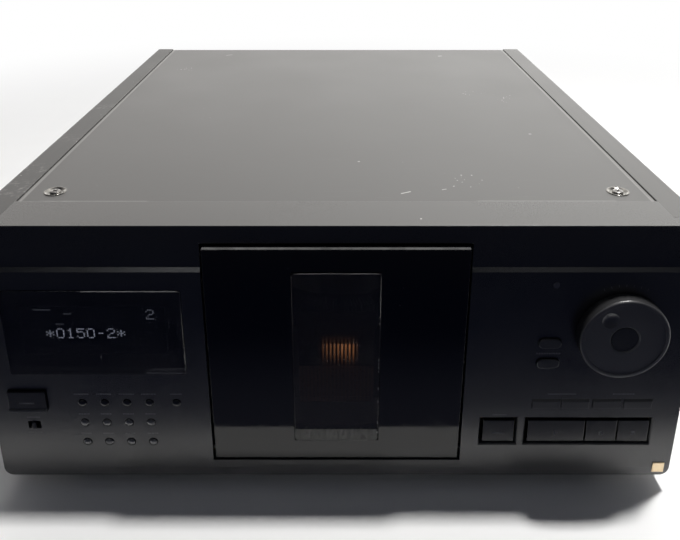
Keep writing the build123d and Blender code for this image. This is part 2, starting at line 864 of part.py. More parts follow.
def screw_place(side):
    """Centre of the screw through the top plate, on the left (-1) or the right (1)."""
    return (side * top_screw_x, front_y + top_screw_depth)


for name, side in (("left_side_panel", -1), ("right_side_panel", 1)):
    outer = side * half_case
    step = side * strip_x
    ledge = side * ledge_x
    inner = side * (half_case - sheet)
    with BuildPart() as side_panel:
        with BuildSketch(from_front(rear_y)):
            with BuildLine():
                Polyline(
                    (outer, base_z),
                    (outer, top_z),
                    (step, top_z),
                    (step, ledge_top_z),
                    (ledge, ledge_top_z),
                    (ledge, ledge_top_z - sheet),
                    (step + side * sheet, ledge_top_z - sheet),
                    (step + side * sheet, top_z - sheet),
                    (inner, top_z - sheet),
                    (inner, base_z),
                    close=True,
                )
            make_face()
        extrude(amount=rear_y - case_front)
        long_edges = side_panel.edges().filter_by(Axis.Y)
        outer_edges = long_edges.filter_by(lambda edge: abs(edge.center().X) > half_case - sheet / 2)
        fillet(outer_edges.sort_by(Axis.Z)[-1], bend_radius)
        with BuildSketch(Plane.XY.offset(ledge_top_z - sheet)):
            with Locations(screw_place(side)):
                Circle(screw_shank_radius + screw_bore_clearance)
        extrude(amount=sheet, mode=Mode.SUBTRACT)
    keep(name, side_panel.part)

with BuildPart() as top_plate:
    plate_front = front_y + lip_depth + case_gap
    with BuildSketch(Plane.XY.offset(ledge_top_z)):
        with Locations((0, (plate_front + rear_y) / 2)):
            Rectangle(2 * (strip_x - case_gap), rear_y - plate_front)
        with Locations(screw_place(-1), screw_place(1)):
            Circle(cup_rim_radius - cup_thickness, mode=Mode.SUBTRACT)
    extrude(amount=sheet)
keep("top_plate", top_plate.part)

cup_low = ledge_top_z
cup_high = plate_top_z
hole_radius = cup_rim_radius - cup_thickness
fasteners = []
for x, y in (screw_place(-1), screw_place(1)):
    axis_plane = Plane(origin=(x, y, 0), x_dir=(1, 0, 0), z_dir=(0, -1, 0))
    with BuildPart() as cup:
        with BuildSketch(axis_plane):
            with BuildLine():
                Polyline(
                    (screw_shank_radius + screw_bore_clearance, cup_low),
                    (cup_seat_radius, cup_low),
                    (hole_radius - case_gap, cup_high),
                    (cup_rim_radius, cup_high),
                    (cup_rim_radius, cup_high + cup_thickness),
                    (hole_radius - case_gap - cup_thickness / 2, cup_high + cup_thickness),
                    (cup_seat_radius - cup_thickness / 2, cup_low + cup_thickness),
                    (screw_shank_radius + screw_bore_clearance, cup_low + cup_thickness),
                    close=True,
                )
            make_face()
        revolve(axis=Axis((x, y, 0), (0, 0, 1)))
    fasteners.append(cup.part)
    with BuildPart() as screw:
        with BuildSketch(Plane.XY.offset(cup_low + cup_thickness)):
            with Locations((x, y)):
                Circle(screw_head_radius)
        extrude(amount=screw_head_height)
        fillet(screw.faces().sort_by(Axis.Z)[-1].edges(), cup_thickness)
        with BuildSketch(Plane.XY.offset(cup_low + cup_thickness - screw_length)):
            with Locations((x, y)):
                Circle(screw_shank_radius)
        extrude(amount=screw_length)
    fasteners.append(screw.part)
keep_group("top_screws", fasteners)

feet = []
for x in (-foot_x, foot_x):
    for depth in (foot_front, foot_rear):
        with BuildPart() as foot:
            with BuildSketch(Plane.XY):
                with Locations((x, front_y + depth)):
                    Circle(foot_radius - foot_taper)
            with BuildSketch(Plane.XY.offset(foot_height)):
                with Locations((x, front_y + depth)):
                    Circle(foot_radius)
            loft()
            fillet(foot.faces().sort_by(Axis.Z)[0].edges(), edge_rounding)
        feet.append(foot.part)
keep_group("feet", feet)

# ================================================================ rear
notch_width = half_case - ledge_x + case_gap  # room for the side panel's ledge
notch_x = half_case - notch_width / 2
board_z = base_z + main_board_rise
jack_z = board_z + board_thickness + jack_block_height / 2
jack_centres = [jack_x - jack_spacing / 2, jack_x + jack_spacing / 2]
with BuildPart() as rear_panel:
    with BuildSketch(from_front(rear_y)):
        with Locations((0, (base_z + ledge_top_z) / 2)):
            Rectangle(2 * (half_case - sheet - case_gap), ledge_top_z - base_z)
        with Locations((-notch_x, ledge_top_z), (notch_x, ledge_top_z)):
            Rectangle(notch_width, 2 * (sheet + case_gap), mode=Mode.SUBTRACT)
        with Locations(*[(x, jack_z) for x in jack_centres]):
            Circle(jack_radius + cutout_clearance, mode=Mode.SUBTRACT)
        with Locations((optical_x, jack_z)):
            optical_hole = optical_size + 2 * cutout_clearance
            Rectangle(optical_hole, optical_hole, mode=Mode.SUBTRACT)
        with Locations((inlet_x, inlet_z)):
            inlet_hole = (inlet_width + 2 * cutout_clearance, inlet_height + 2 * cutout_clearance)
            Rectangle(*inlet_hole, mode=Mode.SUBTRACT)
        for number in range(vent_count):
            with Locations((vent_x + (number - (vent_count - 1) / 2) * vent_pitch, vent_z)):
                SlotOverall(vent_height, vent_width, rotation=90, mode=Mode.SUBTRACT)
    extrude(amount=sheet)
keep("rear_panel", rear_panel.part)

rear_screws = []
screw_spots = [
    (side * (half_case - sheet - rear_screw_inset), z)
    for side in (-1, 1)
    for z in (base_z + rear_screw_inset, (base_z + top_z) / 2)
]
for x, z in screw_spots:
    with BuildPart() as rear_screw:
        with BuildSketch(from_front(rear_y + rear_screw_height)):
            with Locations((x, z)):
                Circle(rear_screw_radius)
        extrude(amount=rear_screw_height)
        fillet(rear_screw.faces().sort_by(Axis.Y)[-1].edges(), cup_thickness)
    rear_screws.append(rear_screw.part)
keep_group("rear_screws", rear_screws)

# two line output sockets in one block, and the optical output, all standing on the main board
with BuildPart() as jack_block:
    with BuildSketch(from_front(rear_inner_y)):
        with Locations((jack_x, jack_z)):
            Rectangle(jack_block_width, jack_block_height)
    extrude(amount=jack_block_depth)
    with BuildSketch(from_front(rear_y + jack_projection)):
        with Locations(*[(x, jack_z) for x in jack_centres]):
            Circle(jack_radius)
    extrude(amount=jack_projection - jack_neck_length)
    with BuildSketch(from_front(rear_y + jack_neck_length)):
        with Locations(*[(x, jack_z) for x in jack_centres]):
            Circle(jack_neck_radius)
    extrude(amount=jack_neck_length + sheet)
    with BuildSketch(from_front(rear_y + jack_projection)):
        with Locations(*[(x, jack_z) for x in jack_centres]):
            Circle(jack_bore_radius)
    extrude(amount=jack_bore_depth, mode=Mode.SUBTRACT)
with BuildPart() as optical_jack:
    with BuildSketch(from_front(rear_y + optical_projection)):
        with Locations((optical_x, jack_z)):
            Rectangle(optical_size, optical_size)
    extrude(amount=jack_block_depth)
    with BuildSketch(from_front(rear_inner_y)):
        with Locations((optical_x, jack_z)):
            Rectangle(optical_size, jack_block_height)
    extrude(amount=jack_block_depth)
    with BuildSketch(from_front(rear_y + optical_projection)):
        with Locations((optical_x, jack_z)):
            Rectangle(optical_bore, optical_bore)
    extrude(amount=jack_bore_depth, mode=Mode.SUBTRACT)
keep_group("output_jacks", [jack_block.part, optical_jack.part])

# mains inlet: a shell with a pocket and two pins
inlet_mouth_y = rear_y + inlet_flange_thickness
with BuildPart() as ac_inlet:
    with BuildSketch(from_front(inlet_mouth_y)):
        with Locations((inlet_x, inlet_z)):
            RectangleRounded(inlet_width, inlet_height, inlet_flange)
    extrude(amount=inlet_length)
    with BuildSketch(from_front(inlet_mouth_y)):
        with Locations((inlet_x, inlet_z)):
            RectangleRounded(inlet_width + 2 * inlet_flange, inlet_height + 2 * inlet_flange, inlet_flange)
    extrude(amount=inlet_flange_thickness)
    with BuildSketch(from_front(inlet_mouth_y)):
        with Locations((inlet_x, inlet_z)):
            RectangleRounded(inlet_cavity_width, inlet_cavity_height, inlet_flange)
    extrude(amount=inlet_cavity_depth, mode=Mode.SUBTRACT)
    with BuildSketch(from_front(inlet_mouth_y - inlet_cavity_depth + inlet_pin_length)):
        with Locations(*[(inlet_x + side * inlet_pin_spacing / 2, inlet_z) for side in (-1, 1)]):
            Circle(inlet_pin_radius)
    extrude(amount=inlet_pin_length + inlet_flange_thickness)
keep("ac_inlet", ac_inlet.part)

# main board on posts, with its larger chips
board_back_y = rear_inner_y
board_centre_y = board_back_y - main_board_depth / 2
with BuildPart() as main_board:
    with BuildSketch(Plane.XY.offset(board_z)):
        with Locations((main_board_x, board_centre_y)):
            Rectangle(main_board_width, main_board_depth)
    extrude(amount=board_thickness)
board_pieces = [main_board.part]
for side_x in (-1, 1):
    for side_y in (-1, 1):
        with BuildPart() as post:
            with BuildSketch(Plane.XY.offset(floor_top)):
                with Locations(
                    (
                        main_board_x + side_x * (main_board_width / 2 - main_post_inset),
                        board_centre_y + side_y * (main_board_depth / 2 - main_post_inset),
                    )
                ):
                    Circle(board_post_radius)
            extrude(amount=board_z - floor_top)
        board_pieces.append(post.part)
chip_row_y = board_back_y - main_board_depth + main_post_inset
for offset, chip_width, chip_depth in chip_sizes:
    with BuildPart() as chip:
        with BuildSketch(Plane.XY.offset(board_z + board_thickness)):
            with Locations((main_board_x + offset, chip_row_y + chip_depth / 2)):
                Rectangle(chip_width, chip_depth)
        extrude(amount=chip_height)
    board_pieces.append(chip.part)
keep_group("main_circuit_board", board_pieces)

# mains transformer: a laminated core with its coil passing through
transformer_y = rear_inner_y - transformer_rear_gap - transformer_depth / 2
coil_z = floor_top + transformer_height / 2
with BuildPart() as core:
    with BuildSketch(Plane.XY.offset(floor_top)):
        with Locations((transformer_x, transformer_y)):
            Rectangle(transformer_width, transformer_depth)
    extrude(amount=transformer_height)
    with BuildSketch(from_front(transformer_y + transformer_depth)):
        with Locations((transformer_x, coil_z)):
            Rectangle(coil_width, coil_height)
    extrude(amount=2 * transformer_depth, mode=Mode.SUBTRACT)
with BuildPart() as coil:
    with BuildSketch(from_front(transformer_y + coil_depth / 2)):
        with Locations((transformer_x, coil_z)):
            Rectangle(coil_width, coil_height)
    extrude(amount=coil_depth)
    fillet(coil.edges().filter_by(Axis.Y), bend_radius)
keep_group("power_transformer", [core.part, coil.part])


# ================================================================ carousel
def gear_outline(teeth, phase):
    """The corner points of a spur gear: each flank is an involute through points at chosen radii."""
    pitch_radius = gear_module * teeth / 2
    base_radius = pitch_radius * math.cos(math.radians(pressure_angle))
    root_radius = pitch_radius - gear_dedendum
    half_tooth = (math.pi * gear_module / 2 - gear_backlash) / 2 / pitch_radius

    def roll(radius):
        if radius <= base_radius:
            return 0.0
        angle = math.acos(base_radius / radius)
        return math.tan(angle) - angle

    radii = sorted({root_radius, max(root_radius, base_radius), pitch_radius, pitch_radius + gear_module})
    flank = [(radius, half_tooth + roll(pitch_radius) - roll(radius)) for radius in radii]
    points = []
    for tooth in range(teeth):
        middle = phase + 2 * math.pi * tooth / teeth
        points += [(radius, middle - offset) for radius, offset in flank]
        points += [(radius, middle + offset) for radius, offset in reversed(flank)]
    return [(radius * math.cos(angle), radius * math.sin(angle)) for radius, angle in points]


def fin_ring_outline(ring_radius, fin_end_radius, fin_thickness):
    """A ring with radial fins: the outline steps between the ring and the ends of the fins."""
    points = []
    for fin in range(slot_count):
        middle = 2 * math.pi * (fin + 0.5) / slot_count
        at_ring = math.asin(fin_thickness / 2 / ring_radius)
        at_end = math.asin(fin_thickness / 2 / fin_end_radius)
        points += [(ring_radius, middle - at_ring), (fin_end_radius, middle - at_end)]
        points += [(fin_end_radius, middle + at_end), (ring_radius, middle + at_ring)]
    return [(radius * math.cos(angle), radius * math.sin(angle)) for radius, angle in points]


def carousel_plane(z):
    return Plane(origin=(0, carousel_y, z))


# the pinion lies at the drive angle; one of its gaps faces the tooth of the rim that lies there
rim_phase = math.radians(drive_angle)
pinion_phase = math.radians(drive_angle) + math.pi + math.pi / pinion_teeth
rim_inner_radius = gear_module * rim_teeth / 2 - gear_dedendum - gear_rim_width
with BuildPart() as carousel_tray:
    with BuildSketch(carousel_plane(tray_z)):
        with BuildLine():
            Polyline(*gear_outline(rim_teeth, rim_phase), close=True)
        make_face()
        Circle(rim_inner_radius, mode=Mode.SUBTRACT)
    extrude(amount=gear_thickness)
    with BuildSketch(carousel_plane(tray_z)):
        Circle(rim_inner_radius)
        Circle(tray_bore_radius, mode=Mode.SUBTRACT)
    extrude(amount=carousel_floor)
keep("carousel_tray", carousel_tray.part)

outer_fin_root = rim_inner_radius - outer_rack_wall
with BuildPart() as outer_disc_rack:
    with BuildSketch(carousel_plane(tray_top)):
        Circle(rim_inner_radius)
        with BuildLine():
            Polyline(*fin_ring_outline(outer_fin_root, outer_rack_inner, outer_fin_thickness), close=True)
        make_face(mode=Mode.SUBTRACT)
    extrude(amount=rack_height)
keep("outer_disc_rack", outer_disc_rack.part)

inner_fin_root = inner_rack_inner + inner_rack_wall
with BuildPart() as inner_disc_rack:
    with BuildSketch(carousel_plane(tray_top)):
        with BuildLine():
            Polyline(*fin_ring_outline(inner_fin_root, inner_rack_outer, inner_fin_thickness), close=True)
        make_face()
        Circle(inner_rack_inner, mode=Mode.SUBTRACT)
    extrude(amount=rack_height)
keep("inner_disc_rack", inner_disc_rack.part)

with BuildPart() as carousel_bearing:
    with BuildSketch(carousel_plane(floor_top)):
        Circle(bearing_radius)
    extrude(amount=bearing_top - floor_top)
    with BuildSketch(carousel_plane(floor_top)):
        Circle(bearing_foot_radius)
    extrude(amount=bearing_plate)
    with BuildSketch(carousel_plane(tray_z - carousel_gap - bearing_plate)):
        Circle(bearing_flange_radius)
    extrude(amount=bearing_plate)
    with BuildSketch(carousel_plane(floor_top)):
        Circle(bearing_radius - bearing_wall)
    extrude(amount=bearing_top - floor_top, mode=Mode.SUBTRACT)
keep("carousel_bearing", carousel_bearing.part)

gear_low = tray_z
gear_high = tray_z + gear_thickness
bracket_z = gear_high + motor_gap
with BuildPart() as drive_gear:
    with BuildSketch(Plane(origin=(drive_x, drive_y, gear_low))):
        with BuildLine():
            Polyline(*gear_outline(pinion_teeth, pinion_phase), close=True)
        make_face()
    extrude(amount=gear_thickness)
    with BuildSketch(Plane(origin=(drive_x, drive_y, gear_low))):
        Circle(drive_shaft_radius)
    extrude(amount=drive_shaft_length)
keep("drive_gear", drive_gear.part)

# the motor hangs over the pinion on a bracket that stands on the base, outside the carousel
outward = math.radians(drive_angle)
bracket_plane = Plane(
    origin=(drive_x, drive_y, 0), x_dir=(math.cos(outward), math.sin(outward), 0), z_dir=(0, 0, 1)
)
with BuildPart() as motor_bracket:
    with BuildSketch(bracket_plane.offset(bracket_z)):
        with Locations((motor_bracket_reach / 2, 0)):
            Rectangle(motor_bracket_reach + motor_bracket_thickness, motor_bracket_width)
        Circle(motor_radius)
    extrude(amount=motor_bracket_thickness)
    with BuildSketch(bracket_plane.offset(floor_top)):
        with Locations((motor_bracket_reach, 0)):
            Rectangle(motor_bracket_thickness, motor_bracket_width)
    extrude(amount=bracket_z - floor_top)
    with BuildSketch(bracket_plane.offset(floor_top)):
        with Locations((motor_bracket_reach + motor_bracket_width / 4, 0)):
            Rectangle(motor_bracket_width / 2, motor_bracket_width)
    extrude(amount=motor_bracket_thickness)
    with BuildSketch(bracket_plane.offset(bracket_z)):
        Circle(drive_shaft_radius + drive_bore_clearance)
    extrude(amount=motor_bracket_thickness, mode=Mode.SUBTRACT)
motor_low = bracket_z + motor_bracket_thickness
with BuildPart() as motor_can:
    with BuildSketch(bracket_plane.offset(motor_low)):
        Circle(motor_radius)
    extrude(amount=motor_height)
    fillet(motor_can.faces().sort_by(Axis.Z)[-1].edges(), bend_radius)
    with BuildSketch(bracket_plane.offset(motor_low)):
        Circle(drive_shaft_radius + drive_bore_clearance)
    extrude(amount=gear_low + drive_shaft_length + pin_clearance - motor_low, mode=Mode.SUBTRACT)
keep_group("carousel_motor", [motor_bracket.part, motor_can.part])

# ================================================================ playing mechanism
rod_spots = [carousel_y - rod_half_spacing, carousel_y + rod_half_spacing]
lower_lug_z = sled_top - sled_height - sled_travel - lug_gap - lug_height
upper_lug_z = sled_top + lug_gap
clamp_lug_reach = clamp_arm_width / 2 + hub_clearance + clamp_lug_width / 2
clamp_lug_y = [carousel_y - clamp_lug_reach, carousel_y + clamp_lug_reach]
with BuildPart() as mechanism_frame:
    with BuildSketch(carousel_plane(bearing_top)):
        Circle(deck_radius)
    extrude(amount=deck_thickness)
    with BuildSketch(Plane.XY.offset(deck_top)):
        with Locations((deck_wall_x - deck_wall_thickness / 2, carousel_y)):
            Rectangle(deck_wall_thickness, 2 * deck_wall_half_depth)
    extrude(amount=deck_wall_height)
    wall_corners = mechanism_frame.edges().filter_by(Axis.X).group_by(Axis.Z)[-1]
    fillet(wall_corners, deck_wall_corner)
    # lugs that hold the guide rods
    lug_reach = rod_standoff + rod_radius + lug_gap
    for low in (lower_lug_z, upper_lug_z):
        with BuildSketch(Plane.XY.offset(low)):
            with Locations(*[(deck_wall_x + lug_reach / 2, y) for y in rod_spots]):
                Rectangle(lug_reach, lug_depth)
        extrude(amount=lug_height)
    with BuildSketch(Plane.XY.offset(lower_lug_z)):
        with Locations(*[(rod_x, y) for y in rod_spots]):
            Circle(rod_radius)
    extrude(amount=upper_lug_z + lug_height - lower_lug_z, mode=Mode.SUBTRACT)
    # lugs of the clamp arm's pivot
    with BuildSketch(Plane.XY.offset(deck_top)):
        with Locations(*[(clamp_pivot_x, y) for y in clamp_lug_y]):
            Rectangle(clamp_lug_depth, clamp_lug_width)
    extrude(amount=clamp_pivot_rise + clamp_boss_radius)
    with BuildSketch(from_front(carousel_y + clamp_arm_width)):
        with Locations((clamp_pivot_x, clamp_pivot_z)):
            Circle(clamp_pin_radius + pin_clearance)
    extrude(amount=2 * clamp_arm_width, mode=Mode.SUBTRACT)
    # bores for the spindle and for the loading arm's pin
    with BuildSketch(from_side(wall_back_x)):
        with Locations((carousel_y, spindle_z)):
            Circle(spindle_shaft_radius + pin_clearance)
        with Locations((arm_pivot_y, arm_pivot_z)):
            Circle(arm_pin_radius + pin_clearance)
    extrude(amount=deck_wall_thickness, mode=Mode.SUBTRACT)
keep("mechanism_frame", mechanism_frame.part)

rods = []
for y in rod_spots:
    with BuildPart() as rod:
        with BuildSketch(Plane.XY.offset(lower_lug_z)):
            with Locations((rod_x, y)):
                Circle(rod_radius)
        extrude(amount=upper_lug_z + lug_height - lower_lug_z)
    rods.append(rod.part)
keep_group("guide_rods", rods)

lens_z = sled_top - sled_height / 2
with BuildPart() as pickup_sled:
    with BuildSketch(Plane.XY.offset(sled_top - sled_height)):
        with Locations((rod_x, carousel_y)):
            Rectangle(sled_thickness, 2 * (rod_half_spacing + sled_margin))
        with Locations(*[(rod_x, y) for y in rod_spots]):
            Circle(rod_radius + pin_clearance, mode=Mode.SUBTRACT)
    extrude(amount=sled_height)
    with BuildSketch(from_side(rod_x + sled_thickness / 2)):
        with Locations((carousel_y, lens_z)):
            Circle(lens_barrel_radius)
    extrude(amount=lens_barrel_height)
keep("pickup_sled", pickup_sled.part)

with BuildPart() as spindle_motor:
    with BuildSketch(from_side(wall_back_x - spindle_motor_length)):
        with Locations((carousel_y, spindle_z)):
            Circle(spindle_motor_radius)
    extrude(amount=spindle_motor_length)
    fillet(spindle_motor.faces().sort_by(Axis.X)[0].edges(), spindle_motor_rounding)
    with BuildSketch(from_side(wall_back_x - spindle_motor_length / 2)):
        with Locations((carousel_y, spindle_z)):
            Circle(spindle_shaft_radius + pin_clearance)
    extrude(amount=spindle_motor_length / 2, mode=Mode.SUBTRACT)
keep("spindle_motor", spindle_motor.part)

shaft_start = wall_back_x - spindle_motor_length / 2 + pin_clearance
with BuildPart() as turntable:
    with BuildSketch(from_side(shaft_start)):
        with Locations((carousel_y, spindle_z)):
            Circle(spindle_shaft_radius)
    extrude(amount=turntable_x - shaft_start)
    with BuildSketch(from_side(turntable_x - turntable_thickness)):
        with Locations((carousel_y, spindle_z)):
            Circle(turntable_radius)
    extrude(amount=turntable_thickness)
    with BuildSketch(from_side(turntable_x)):
        with Locations((carousel_y, spindle_z)):
            Circle(disc_hole_radius - hub_clearance)
    extrude(amount=hub_height)
    chamfer(turntable.faces().sort_by(Axis.X)[-1].edges(), hub_clearance)
keep("turntable", turntable.part)

puck_face_x = turntable_x + hub_height + hub_clearance
arm_face_x = clamp_pivot_x - clamp_arm_thickness / 2
pin_half_length = clamp_arm_width / 2 + hub_clearance + clamp_lug_width
with BuildPart() as clamp_arm:
    with BuildSketch(from_side(arm_face_x)):
        with Locations((carousel_y, (clamp_pivot_z + spindle_z) / 2)):
            Rectangle(clamp_arm_width, spindle_z - clamp_pivot_z)
        with Locations((carousel_y, spindle_z)):
            Circle(clamp_puck_radius - clamp_puck_gap)
    extrude(amount=clamp_arm_thickness)
    with BuildSketch(from_side(puck_face_x)):
        with Locations((carousel_y, spindle_z)):
            Circle(clamp_puck_radius)
    extrude(amount=arm_face_x - puck_face_x)
    boss_half_length = clamp_arm_width / 2
    for radius, half_length in ((clamp_pin_radius, pin_half_length), (clamp_boss_radius, boss_half_length)):
        with BuildSketch(from_front(carousel_y + half_length)):
            with Locations((clamp_pivot_x, clamp_pivot_z)):
                Circle(radius)
        extrude(amount=2 * half_length)
keep("clamp_arm", clamp_arm.part)

arm_back_x = arm_x - arm_thickness / 2
with BuildPart() as loading_arm:
    with BuildSketch(from_side(arm_back_x)):
        with Locations((arm_pivot_y, arm_pivot_z + arm_length / 2)):
            SlotOverall(arm_length + arm_width, arm_width, rotation=90)
    extrude(amount=arm_thickness)
    with BuildSketch(from_side(wall_back_x)):
        with Locations((arm_pivot_y, arm_pivot_z)):
            Circle(arm_pin_radius)
    extrude(amount=arm_back_x - wall_back_x)
keep("loading_arm", loading_arm.part)
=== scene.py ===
import math
import random

import bmesh
import bpy
from bpy.props import FloatProperty, FloatVectorProperty, IntProperty, PointerProperty, StringProperty
from mathutils import Matrix, Vector


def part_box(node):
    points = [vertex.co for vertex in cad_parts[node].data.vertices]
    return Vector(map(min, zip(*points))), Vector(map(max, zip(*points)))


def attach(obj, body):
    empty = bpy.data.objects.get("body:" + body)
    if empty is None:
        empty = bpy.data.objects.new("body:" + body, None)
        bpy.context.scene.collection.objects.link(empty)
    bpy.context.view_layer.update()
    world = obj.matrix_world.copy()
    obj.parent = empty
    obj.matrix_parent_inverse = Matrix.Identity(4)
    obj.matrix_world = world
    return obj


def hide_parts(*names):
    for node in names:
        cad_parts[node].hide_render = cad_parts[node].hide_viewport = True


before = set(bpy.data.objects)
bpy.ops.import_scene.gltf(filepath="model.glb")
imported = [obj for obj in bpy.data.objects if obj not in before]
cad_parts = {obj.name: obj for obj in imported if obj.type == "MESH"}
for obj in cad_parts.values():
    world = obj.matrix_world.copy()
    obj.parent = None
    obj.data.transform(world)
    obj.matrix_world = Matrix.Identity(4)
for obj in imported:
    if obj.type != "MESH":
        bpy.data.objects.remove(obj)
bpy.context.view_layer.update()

bl_info = {
    "name": "Disc Changer Dressing",
    "version": (1, 0, 0),
    "blender": (4, 5, 0),
    "location": "3D View > Sidebar > Disc Changer",
    "description": "Finishes, printed marks, display, lamp lens, inner parts and stage for a compact disc changer",
    "category": "Object",
}

MM = 0.001
PANEL_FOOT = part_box("front_panel")[0].z  # the front panel's lower edge
PANEL_FACE = -0.2345  # y of the front panel's face


# ---------------------------------------------------------------- materials
class Value:
    """A socket of a material; arithmetic on it adds the Math nodes."""

    def __init__(self, shader, socket):
        self.shader = shader
        self.socket = socket

    def math(self, operation, first, second):
        return self.shader.node("ShaderNodeMath", {"operation": operation}, {0: first, 1: second})

    def __add__(self, other):
        return self.math("ADD", self, other)

    def __sub__(self, other):
        return self.math("SUBTRACT", self, other)

    def __rsub__(self, other):
        return self.math("SUBTRACT", other, self)

    def __mul__(self, other):
        return self.math("MULTIPLY", self, other)

    def __truediv__(self, other):
        return self.math("DIVIDE", self, other)

    def __pow__(self, other):
        return self.math("POWER", self, other)

    __radd__ = __add__
    __rmul__ = __mul__

    def larger(self, other):
        return self.math("MAXIMUM", self, other)

    def wave(self, length):
        """1 at every multiple of the length and 0 half way between."""
        return self.math("COSINE", self * (2 * math.pi / length), 0.0) * 0.5 + 0.5

    def between(self, low, high):
        """Rises smoothly from 0 at low to 1 at high."""
        settings = {"interpolation_type": "SMOOTHSTEP"}
        sockets = {"Value": self, "From Min": low, "From Max": high}
        return self.shader.node("ShaderNodeMapRange", settings, sockets)


class Shader:
    """Adds nodes to a shader tree."""

    def __init__(self, tree):
        self.tree = tree
        self.tree.nodes.clear()

    def node(self, kind, settings=None, sockets=None, out=0):
        """A node by its type, its settings, and the values or links of its sockets."""
        item = self.tree.nodes.new(kind)
        for key, value in (settings or {}).items():
            setattr(item, key, value)
        for key, value in (sockets or {}).items():
            if isinstance(value, Value):
                self.tree.links.new(value.socket, item.inputs[key])
            else:
                item.inputs[key].default_value = value
        return Value(self, item.outputs[out] if len(item.outputs) else None)

    def blend(self, first, second, factor):
        """Two colours mixed by a factor."""
        first, second = (c if isinstance(c, Value) else (*c[:3], 1.0) for c in (first, second))
        return self.node("ShaderNodeMix", {"data_type": "RGBA"}, {0: factor, 6: first, 7: second}, 2)


class Finish(Shader):
    """A procedural material under construction, patterned on object coordinates."""

    def __init__(self, name):
        self.material = bpy.data.materials.new(name)
        self.material.use_nodes = True
        super().__init__(self.material.node_tree)
        self.place = self.node("ShaderNodeTexCoord", out="Object")

    def noise(self, size, detail=2.0, vector=None):
        """Smooth noise whose features are about this size, in millimetres."""
        sockets = {"Vector": vector or self.place, "Scale": 1 / (size * MM), "Detail": detail}
        return self.node("ShaderNodeTexNoise", None, sockets)

    def streaks(self, angle, along, across):
        """Noise drawn out into fine lines that run at an angle about Z."""
        scale = (1 / (along * MM), 1 / (across * MM), 1 / (across * MM))
        turned = self.node(
            "ShaderNodeMapping", None, {"Vector": self.place, "Rotation": (0.0, 0.0, angle), "Scale": scale}
        )
        return self.node("ShaderNodeTexNoise", None, {"Vector": turned, "Scale": 1.0, "Detail": 1.0})

    def axis(self, letter):
        """One coordinate in millimetres."""
        return self.node("ShaderNodeSeparateXYZ", None, {0: self.place}, letter) / MM

    def softened(self, radius):
        """The normal with its sharp edges rounded, and a mask of those edges."""
        rounded = self.node("ShaderNodeBevel", {"samples": 4}, {"Radius": radius * MM})
        flat = self.node("ShaderNodeNewGeometry", out="Normal")
        same = self.node("ShaderNodeVectorMath", {"operation": "DOT_PRODUCT"}, {0: rounded, 1: flat}, "Value")
        return rounded, (1 - same).between(0.03, 0.3)

    def surface(self, varying, **fixed):
        """The Principled shader, with its varying sockets linked and its fixed ones set."""
        sockets = dict(varying)
        for name, value in fixed.items():
            sockets[name.replace("_", " ").title().replace("Ior", "IOR")] = value
        shader = self.node("ShaderNodeBsdfPrincipled", None, sockets)
        self.node("ShaderNodeOutputMaterial", None, {"Surface": shader})
        return self.material


def coated(
    name, colour, roughness, mottle=0.15, grain=0.5, depth=0.004, scratches=0.0, dust=0.0, rub_and_highlight=0.0,
    worn=(0.2, 0.2, 0.2), edge=0.35, smudges=0.0, drift=40.0, patches=None, **fixed,
):
    """A finish with cloudy colour, a fine grain, scratches, dust and pale rubbed edges, which in the keys' and the
    dial's finishes are also painted highlights. Sizes are in millimetres.

    The patches are a function that takes the finish and gives (mask, colour) pairs, laid over the rest.
    """
    finish = Finish(name)
    cloudy = finish.noise(drift, 4.0)
    fine = finish.noise(grain)
    dark = [c * (1 - 2 * mottle) for c in colour]
    light = [c * (1 + 2 * mottle) for c in colour]
    shade = finish.blend(dark, light, cloudy * 0.6 + fine * 0.4)
    normal, edges = finish.softened(edge)
    marks = None
    if scratches:
        lines = [finish.streaks(angle, along, 0.5) for angle, along in ((0.4, 30), (1.3, 55), (2.5, 40))]
        marks = lines[0].larger(lines[1]).larger(lines[2]).between(0.72, 0.80) * scratches
        shade = finish.blend(shade, worn, marks)
    if dust:
        sockets = {"Vector": finish.place, "Scale": 1 / (9 * MM)}
        speck = 1 - finish.node("ShaderNodeTexVoronoi", None, sockets, "Distance").between(0.02, 0.05)
        shade = finish.blend(shade, (0.45, 0.43, 0.40), speck * finish.noise(25.0).between(0.55, 0.7) * dust)
    # pale edges: rubbed paint, and where a finish asks for a bright tint also a painted highlight along the edges
    if rub_and_highlight:
        rubbed = edges * finish.noise(5.0, 4.0).between(0.45, 0.65) * rub_and_highlight
        shade = finish.blend(shade, worn, rubbed)
    for mask, patch in patches(finish) if patches else ():
        shade = finish.blend(shade, patch, mask)
    rough = (fine - 0.5) * 0.12 + (cloudy - 0.5) * 0.10 + roughness
    if smudges:
        rough = rough + finish.noise(18.0, 3.0).between(0.5, 0.75) * smudges
    height = fine if marks is None else fine - marks * 2
    bumped = finish.node("ShaderNodeBump", None, {"Distance": depth * MM, "Height": height, "Normal": normal})
    return finish.surface({"Base Color": shade, "Roughness": rough, "Normal": bumped}, **fixed)


def flakes(finish, spacing, size, gate, gate_size):
    """Scattered chips about this far apart, only where a slow noise is above the gate."""
    sockets = {"Vector": finish.place, "Scale": 1 / (spacing * MM)}
    chips = 1 - finish.node("ShaderNodeTexVoronoi", None, sockets, "Distance").between(size * 0.6, size)
    return chips * finish.noise(gate_size, 3.0).between(gate, gate + 0.04)


